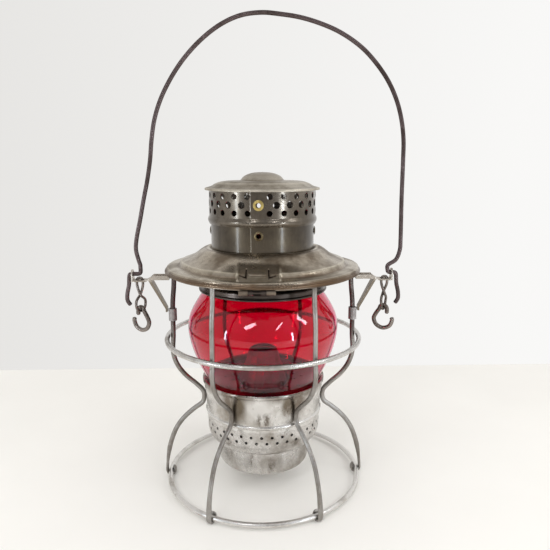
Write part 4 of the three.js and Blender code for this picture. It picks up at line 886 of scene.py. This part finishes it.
# %% Air band
BAND_LOW, BAND_TOP, MOUTH, BAND = 38.3, 60.2, 38.9, 46.9
AIR_ROWS, AIR_COUNT, AIR_HOLE, AIR_TURN = (55.9, 51.1), 36, 1.2, -2.4
NOTCH_HALF, NOTCH_TALL = MOUTH * sin(radians(9)), 3.2
BAND_BENDS = [(0, 0), (0.35, 0.05), (0.68, 0.17), (0.91, 0.34), (0.9875, 0.55), (1, 1)]
band_line = curve([(mixed(MOUTH, BAND, out), mixed(BAND_LOW, BAND_TOP, up)) for out, up in BAND_BENDS], 4)
band_run = run_of(band_line)
air_holes = []
for row, height in enumerate(AIR_ROWS):
    along = run_at_height(band_line, band_run, height)
    air_holes += [round_hole(10 * i + 5 * row + AIR_TURN, along, AIR_HOLE, 12) for i in range(AIR_COUNT)]
notch = [(-NOTCH_HALF, 0.02), (NOTCH_HALF, 0.02), (NOTCH_HALF, NOTCH_TALL), (-NOTCH_HALF, NOTCH_TALL)]
notches = [(120 * i - 30, notch) for i in range(3)]
piece("air_band_sheet", pressed(band_line, air_holes + notches, 144, 182.5), "frame_tin", "guard_frame",
      ("air_band",))
print("air band with", len(air_holes), "holes")

# %% [markdown]
# ## Globe
# Pressed glass shows its thickness: rim and foot look darker where light runs along the wall. So the
# globe is a closed shell with an inside and an outside. It stands on a plate with air holes.

# %% Globe and its seat
GLOBE_LOW, GLOBE_TALL, FOOT, BELLY, GLASS = 87.8, 82.5, 46.6, 61.2, 2.6
globe_shares = [(0.02, 0.006), (0.2, 0.107), (0.5, 0.22), (0.83, 0.38), (1, 0.54), (0.93, 0.665), (0.74, 0.75),
                (0.44, 0.84), (0.13, 0.925), (0.0, 0.994)]
globe_outer = curve([(mixed(FOOT, BELLY, out), GLOBE_LOW + GLOBE_TALL * up) for out, up in globe_shares], 8)
piece("globe_glass", spun(sheet_line(globe_outer, GLASS)), "red_glass", "guard_frame", ("globe",), sharp=60)

seat_top = GLOBE_LOW - SEAT
seat_line = [(21.8, seat_top - 2.7), (22.3, seat_top - 0.2), (25, seat_top), (35, seat_top), (44.6, seat_top),
             (48.0 - SEAT * 1.6, seat_top)]
seat_holes = [round_hole(30 * i + turn, along, 1.7) for turn, along in ((0, 12.5), (15, 6.5)) for i in range(12)]
piece("globe_seat_plate", pressed(seat_line, seat_holes, 96, 187.0), "burner_steel", "guard_frame", ("globe_seat",))
print("globe on a plate with", len(seat_holes), "holes")

# %% [markdown]
# ## Lid hood
# The hood is a wide spun cone with a turned-down rim, a flat brim and a step. At the front the sheet
# is lifted onto a straight line between cone and brim, with soft shoulders: a level panel for the
# hinge. An L-shaped slit at each end of it frees a small tab.

# %% Hood
hood_line = [(78.0, 180.7), (78.2, 181.2), (78.25, 181.7), (78.1, 182.3), (77.7, 182.7), (77.2, 182.85),
             (76.95, 183.2), (76.95, 183.9), (76.8, 184.4), (76.3, 184.8)]
hood_line += curve([(75.6, 185.05), (73.4, 185.4), (71.0, 185.6), (68.3, 185.8), (67.2, 186.2), (66.4, 187.2),
                    (65.8, 188.5), (65.1, 189.2), (63.9, 189.6), (60.0, 191.0), (55.0, 193.3), (50.6, 196.6),
                    (47.6, 198.5), (45.6, 199.2)], 3)
hood_line += [(44.2, 199.5), (42.9, 199.45), (42.0, 199.0), (41.5, 198.2)]
hood_run = run_of(hood_line)
panel_top, panel_low = [run_at_height(hood_line, hood_run, z) for z in (194.2, 185.2)]
slit_top, slit_low = run_at_height(hood_line, hood_run, 191.5), run_at_height(hood_line, hood_run, 185.85) - 1.6
WAVE, FINE_WAVE, SHOULDER = 0.10, 0.08, 0.5


def hood_raise(turn, along):
    """How far the sheet stands off the spun cone: hand-worked waves, and the level front panel."""
    here = at_run(hood_line, hood_run, along)[0]
    across = here.x * radians((turn - FRONT) % 360)
    across = across if across < pi * here.x else across - 2 * pi * here.x
    wander = WAVE * sin(radians(turn) * 5 + along * 0.2) + FINE_WAVE * sin(radians(turn) * 9 + 1)
    wander *= smooth(along / 6)
    away = abs(across - PANEL_MIDDLE)
    if away > PANEL_HALF + 2 or not panel_low < along < panel_top:
        return wander
    top, low = [at_run(hood_line, hood_run, end)[0] for end in (panel_top, panel_low)]
    straight = (low - top).normalized()
    lift = abs((here - top).dot(Vector((-straight.y, straight.x))))
    edge = exp(-(away - PANEL_HALF) ** 2) * smooth((along - panel_low) / 3) * smooth((panel_top - along) / 6)
    return lift * smooth((PANEL_HALF + 0.6 - away) / 1.3) + edge * SHOULDER + wander


slits = []
for inner, outer in SLIT_ENDS:
    middle, leg = mixed(inner, outer, 0.5), inner + copysign(1.0, outer - inner)
    foot = [(inner, 0), (middle, 0.5), (outer, 2.3), (outer, 3.3), (middle, 2.5), (leg, 2.2)]
    slits.append((FRONT, [(inner, slit_top), *((x, slit_low + up) for x, up in foot), (leg, slit_top)]))
shoulder_turns = [FRONT + 360 + degrees((PANEL_MIDDLE + side * (PANEL_HALF + off)) / 70)
                  for side in (-1, 1) for off in (-1.6, -1.1, -0.6, -0.2, 0.2, 0.6, 1.1)]
piece("hood_sheet", pressed(hood_line, slits, 180, 89.3, shoulder_turns, hood_raise), "hood_tin", "lid",
      ("lid_hood",), sharp=40)
print("hood panel from", round(panel_low, 1), "to", round(panel_top, 1), "mm along the profile")

# %% [markdown]
# ## Chimney
# The collar is rolled sheet with a lap seam at the front. The vent band slips over it with a bead. Its
# three rows of punched holes are not quite even: they open up at the seam, where a brass eyelet joins
# the lap, and the middle row is a little larger.

# %% Collar and vent band
COLLAR, COLLAR_LOW, COLLAR_TALL, COLLAR_EYELETS = 40.9, 195.3, 27.3, 212.4
VENT, VENT_LOW, VENT_TOP, VENT_MIDDLE, BEAD = COLLAR + SEAT + SHEET, 225.4, 245.5, 234.9, 1.1
EYELET_TURN, SEAM_TURN, EYELET_HOLE = FRONT - 4.4, FRONT - 12.5, 1.95
# Height of each row of holes, the half-gap at the seam in degrees, the number of holes and their radius.
VENT_ROWS = ((228.8, 11.1, 24, 2.25), (VENT_MIDDLE, 17.8, 23, 2.65), (241.0, 11.1, 24, 2.25))
seam_turns = [SEAM_TURN + 360 + d for d in (-0.6, -0.3, 0, 0.3, 0.6)]


def lap(width, lift):
    """The step where one end of the sheet lies over the other, as a raise for pressed()."""
    def raised(turn, along):
        away = (turn - SEAM_TURN + 180) % 360 - 180
        return lift * smooth((away + width) / width / 2) * smooth((26 - away) / 26)
    return raised


collar_line = [(COLLAR, COLLAR_LOW + COLLAR_TALL * k / 14) for k in range(15)]
collar_holes = [round_hole(EYELET_TURN + 90 * i, COLLAR_EYELETS - COLLAR_LOW, EYELET_HOLE) for i in range(4)]
piece("collar_sheet", pressed(collar_line, collar_holes, 144, 91.0, seam_turns, lap(0.5, 0.224)),
      "chimney_tin", "lid", ("chimney_collar",), sharp=50)

vent_line = [(VENT, 218.6)] + [(VENT + BEAD * sin(pi * k / 10), 218.8 + 6.0 * k / 10) for k in range(1, 10)]
vent_line += [(VENT, 224.9)] + [(VENT, mixed(VENT_LOW, VENT_TOP, k / 12)) for k in range(13)]
vent_run = run_of(vent_line)
vent_holes = []
for row, (height, gap, count, radius) in enumerate(VENT_ROWS):
    along = run_at_height(vent_line, vent_run, height)
    pitch = (360 - 2 * gap) / (count - 1)
    for i in range(count):
        drift = 0.35 * sin(2.3 * i + row)
        vent_holes.append(round_hole(EYELET_TURN + gap + pitch * i + drift, along + 0.12 * sin(1.7 * i), radius))
vent_holes.append(round_hole(EYELET_TURN, run_at_height(vent_line, vent_run, VENT_MIDDLE), EYELET_HOLE))
piece("vent_band_sheet", pressed(vent_line, vent_holes, 144, EYELET_TURN + 180.37, seam_turns, lap(0.6, 0.22)),
      "vent_tin", "lid", ("chimney_vent_band",), sharp=50)
print("vent band with", len(vent_holes) - 1, "holes")

# %% [markdown]
# The eyelets are brass tubes clinched over the sheet. The one on the vent band has a broad dished
# flange, the four on the collar are almost flush.

# %% Eyelets
def eyelet(name, node, wall, height, turn, flange, finish, tube=1.8):
    line = [(tube, -1.8), (tube + 0.28, -1.8), (tube + 0.28, 0.02), (flange - 0.25, 0.02), (flange, 0.12),
            (flange - 0.05, 0.34), (mixed(tube, flange, 0.6), 0.55), (tube + 0.45, 0.85), (tube + 0.15, 0.88),
            (tube - 0.02, 0.6), (tube, -0.4)]
    stand = (Matrix.Rotation(radians(turn), 4, "Z") @ Matrix.Translation(((wall + SEAT) * MM, 0, height * MM))
             @ Matrix.Rotation(pi / 2, 4, "Y"))
    piece(name, spun(line, 40), finish, "lid", (node,), stand)


eyelet("vent_eyelet_brass", "vent_eyelet", VENT, VENT_MIDDLE, EYELET_TURN, 3.95, "brass")
for i, side in enumerate(("front", "right", "back", "left")):
    eyelet(f"collar_eyelet_brass_{side}", f"collar_eyelet_{side}", COLLAR, COLLAR_EYELETS, EYELET_TURN + 90 * i,
           3.5, "dull_brass")
print("five eyelets clinched")

# %% [markdown]
# ## Cap and globe holder
# The cap is one pressed disc with a flat edge, a raised ring and a small dome. Below the hood hangs
# the globe holder, a dark ring with a rolled rim that keeps the globe down on its seat.

# %% Cap and holder
cap_outer = [(45.2, 244.65), (45.3, 245.2), (45.25, 245.9), (45.0, 246.15)]
cap_outer += curve([(43.6, 246.5), (40.2, 247.5), (37.2, 249.3), (34.0, 250.5), (31.0, 251.1), (26, 251.4),
                    (19.5, 251.6), (17.2, 252.0), (15.2, 254.3), (12, 256.2), (7, 257.6), (0, 258.1)], 4)
piece("cap_sheet", spun(sheet_line(cap_outer)), "cap_tin", "lid", ("chimney_cap",), sharp=50)

roll = [on_circle(1, a) for a in range(0, 181, 20)]
holder_line = [(51.2 + 0.55 * out, 166.2 - 0.85 * down) for down, out in roll]
holder_line += curve([(50.8, 167.4), (50.6, 168.4), (50.4, 170.6), (49.4, 171.6), (46.6, 171.9), (45.6, 173.2),
                      (45.0, 176.0), (43.4, 184.0), (40.6, 191.6), (39.7, 194.4), (39.7, 198.9)], 3)
piece("holder_sheet", spun(sheet_line(holder_line)), "blued_steel", "lid", ("globe_holder",), sharp=50)
print("cap and globe holder done")

# %% [markdown]
# ## Fount and burner
# The fount is the oil drum. It hangs in the air band by three lugs and carries the burner, which is
# seen only as a shape through the red glass. Drum, lugs and filler mouth are soldered into one piece.

# %% Fount
DRUM, LUG_HALF, FILLER_OUT, DRUM_TOP = 37.6, 37.6 * sin(radians(7)), 25.0, 58.9
drum_outer = [(0, 18.2), (20, 18.25), (33.0, 18.2), (35.2, 18.5), (36.6, 19.4), (37.3, 20.8), (DRUM, 22.6),
              (DRUM, 30.0), (DRUM, 40.0), (DRUM, 56.6), (37.3, 57.7), (36.5, 58.4), (35.2, DRUM_TOP),
              (26, DRUM_TOP), (14.0, DRUM_TOP), (12.9, 59.1), (12.3, 59.6), (12.0, 60.4), (12.0, 65.9)]
LUG_FACES = ((0, 1, 3, 2), (4, 6, 7, 5), (0, 4, 5, 1), (2, 3, 7, 6), (0, 2, 6, 4), (1, 5, 7, 3))
fount_corners, fount_faces = spun(sheet_line(drum_outer))


def add_to_fount(corners, faces):
    first = len(fount_corners)
    fount_corners.extend(corners)
    fount_faces.extend(tuple(first + k for k in face) for face in faces)


lug = [Vector((x, y, z)) * MM for x in (37.3, 40.2) for y in (-LUG_HALF, LUG_HALF) for z in (40.9, 42.1)]
for i in range(3):
    spin = Matrix.Rotation(radians(120 * i), 3, "Z")
    add_to_fount([spin @ c for c in lug], LUG_FACES)
add_to_fount(*spun([(7.1, 58.95), (8.0, 58.95), (8.0, 62.1), (7.1, 62.1)], 48, FILLER_OUT))
piece("fount_drum", (fount_corners, fount_faces), "frame_tin", "fount", ("fount", "fount_top"))
print("fount with three lugs and a filler mouth")

# %% [markdown]
# The filler cap has a knurled edge, so that oily fingers can turn it: every third step of its side
# is drawn in a little.

# %% Filler cap
gasket_top = DRUM_TOP + 3.2 + SEAT + SHEET
cap_line = [(8.3, 59.3), (9.15, 59.2), (9.2, 60.5), (9.15, gasket_top + 0.6), (8.8, gasket_top + 1.05),
            (8.2, gasket_top + 1.2), (0, gasket_top + 1.2), (0, gasket_top + 0.3), (8.3, gasket_top + 0.3)]
cap_corners, cap_faces = spun(cap_line, 72, FILLER_OUT)
middle = Vector((0, FILLER_OUT * MM, 0))
for i, corner in enumerate(cap_corners):
    step, spot = divmod(i, len(cap_line))
    if spot in (1, 2, 3) and step % 3 == 0:
        corner.xy = middle.xy + (corner - middle).xy * 0.97
piece("filler_cap_brass", (cap_corners, cap_faces), "brass", "filler_cap", ("filler_cap",))
print("filler cap knurled")

# %% [markdown]
# The gallery is a brass ring with air holes round it, and one more hole for the wick spindle.

# %% Burner gallery
GALLERY, GALLERY_LOW = 20.6, 66.2 + SHEET + SEAT
gallery_bends = [(GALLERY, 0), (GALLERY, 1), (20.2, 1.5), (20.2, 9), (GALLERY, 9.6), (GALLERY, 15)]
gallery_line = [(GALLERY, GALLERY_LOW)]
for (r0, z0), (r1, z1) in zip(gallery_bends, gallery_bends[1:]):
    gallery_line += [((r0 + r1) / 2, GALLERY_LOW + (z0 + z1) / 2), (r1, GALLERY_LOW + z1)]
gallery_holes = [round_hole(30 * i, 3.3, 1.6, 16) for i in range(12)]
spindle_turn = 180.0 + degrees(asin(4.0 / GALLERY))
gallery_holes.append(round_hole(spindle_turn, 6.3, 1.6, 16))
piece("gallery_sheet", pressed(gallery_line, gallery_holes, 96, 100.0), "brass", "fount", ("burner_gallery",))
print("gallery with", len(gallery_holes), "holes")

# %% [markdown]
# ## Bail, links and hooks
# The bail is one length of spring wire. It passes through an eye in each ear and runs on down a
# little, so that it can't slip out. A sweep along one smooth line makes it, tips and all.

# %% Bail
BAIL_HALF, PIVOT, CROWN, BAIL_WIRE, TAIL = 111.0, 177.3, 375.0, 3.4, 26
EYE_INNER, EYE_OUTER = 104.6, 105.8
HALF = BAIL_WIRE / 2
# Shares of the half-width out and of the height up, from the left ear over the crown to the right.
BAIL_BENDS = [
    (-0.888, 0.036), (-0.899, 0.058), (-0.914, 0.1), (-0.907, 0.14), (-0.874, 0.22), (-0.843, 0.3),
    (-0.81, 0.379), (-0.785, 0.456), (-0.769, 0.532), (-0.744, 0.608), (-0.698, 0.682), (-0.628, 0.756),
    (-0.536, 0.829), (-0.414, 0.9), (-0.278, 0.956), (-0.143, 0.989), (0, 1), (0.125, 0.995), (0.26, 0.984),
    (0.396, 0.963), (0.532, 0.932), (0.671, 0.883), (0.768, 0.832), (0.869, 0.759), (0.936, 0.685),
    (0.977, 0.609), (0.997, 0.533), (1, 0.456), (1.001, 0.297), (1.006, 0.134), (1.004, 0.094), (0.978, 0.053)]


def bail_end(side, inner, outer):
    """The wire at one ear: down on the inside, through the eye, and down again as a bent tail."""
    bend, end = HALF * 1.1, PIVOT - TAIL
    points = [(inner + bend * out, PIVOT + bend * up) for out, up in ((0, 3), (0, 1), (0.3, 0.3), (1, 0))]
    points += [(outer - bend * back, PIVOT - bend * down) for back, down in ((1, 0), (0.3, 0.3), (0, 1))]
    points += [(outer + BAIL_WIRE * out, mixed(PIVOT, end, down))
               for out, down in ((0.2, 0.35), (0.7, 0.65), (0.7, 0.85), (0, 1))]
    return [(side * x, z) for x, z in points]


def tipped(half, soft):
    """A section that is smaller at both tips of the wire."""
    def size(share, centre):
        edge = min(share, 1 - share)
        small = half * MM * (1 if edge > soft else mixed(0.6, 1, edge / soft))
        return small, small
    return size


inner_leg, outer_leg = EYE_INNER - SEAT - HALF, EYE_OUTER + SEAT + HALF
bail_points = bail_end(-1, BAIL_HALF * 0.888, outer_leg)[::-1]
bail_points += [(BAIL_HALF * out, mixed(PIVOT, CROWN, up)) for out, up in BAIL_BENDS]
bail_points += bail_end(1, inner_leg - SEAT * 2, outer_leg + SEAT * 4)
bail_line = through([(x * MM, 0, z * MM) for x, z in bail_points], 8)
piece("bail_wire", swept(bail_line, tipped(HALF, 0.0012)), "dark_wire", "bail", ("bail",), sharp=60)
print("bail of", len(bail_line), "points")

# %% [markdown]
# From each ear hangs a twisted loop of thin wire, with an open hook of heavier wire in its lower end.
# The loop is one half of its line, mirrored. The left pair is the right pair turned half round.

# %% Links and hooks
LINK_OUT, LINK_WIRE, HOOK_WIRE, TWIST = 99.6, 2.2, 3.5, 60.0
LINK_TOP = 172.6 + SEAT + LINK_WIRE / 2
LINK_LOW = LINK_TOP - 27.5
LINK_TOP_HALF, LINK_LOW_HALF, HOOK_HALF, HOOK_DROP = 4.5 / 2, 11 / 2, 15.6 / 2, 16.3


def link_line():
    """A loop whose lower end is twisted against its upper end."""
    crossing, apart = mixed(LINK_TOP, LINK_LOW, 0.5), LINK_WIRE / 2 + SEAT
    top, low, low_turn = LINK_TOP_HALF, LINK_LOW_HALF, 180 + TWIST
    down = [Vector((*on_circle(across, turn), z)) for across, turn, z in (
        (top * 0.7, 0, LINK_TOP - top * 0.2), (top, 0, LINK_TOP - top), (top, 6, mixed(LINK_TOP, crossing, 0.45)),
        (apart, 100, crossing), (low * 0.8, low_turn - 8, mixed(crossing, LINK_LOW, 0.35)),
        (low, low_turn, mixed(crossing, LINK_LOW, 0.62)), (low * 0.72, low_turn, LINK_LOW + low * 0.28))]
    back = [Vector((-p.x, -p.y, p.z)) for p in down][::-1]
    return through([(0, 0, LINK_TOP), *down, (0, 0, LINK_LOW), *back], 8, closed=True)


def hook_line():
    eye, half, drop = LINK_WIRE / 2 + SEAT + HOOK_WIRE / 2, HOOK_HALF, HOOK_DROP
    points = [(eye, -eye * 1.2), (eye, 0), (eye * 0.7, eye * 0.7), (0, eye), (-eye * 0.7, eye * 0.7), (-eye, 0),
              (-half * 0.78, -drop * 0.28), (-half, -drop * 0.55), (-half * 0.72, -drop * 0.86), (0, -drop),
              (half * 0.72, -drop * 0.86), (half, -drop * 0.55), (half * 0.94, -drop * 0.4)]
    turned = Matrix.Rotation(radians(TWIST - 90), 3, "Z")
    return [turned @ p + Vector((0, 0, LINK_LOW)) for p in through([(x, 0, z) for x, z in points], 8)]


for side, out, turn in (("right", LINK_OUT, 0.0), ("left", -LINK_OUT, pi)):
    hang = Matrix.Translation((out * MM, 0, 0)) @ Matrix.Rotation(turn, 4, "Z")
    for part, line, size, sides, closed in (
            ("link", link_line(), lambda share, centre: (LINK_WIRE / 2 * MM,) * 2, 14, True),
            ("hook", hook_line(), tipped(HOOK_WIRE / 2, 0.02), 16, False)):
        piece(f"{part}_wire_{side}", swept([p * MM for p in line], size, sides, closed), "link_wire",
              f"{part}_{side}", (f"{part}_{side}",), hang, sharp=60)
print("links and hooks hang from the ears")
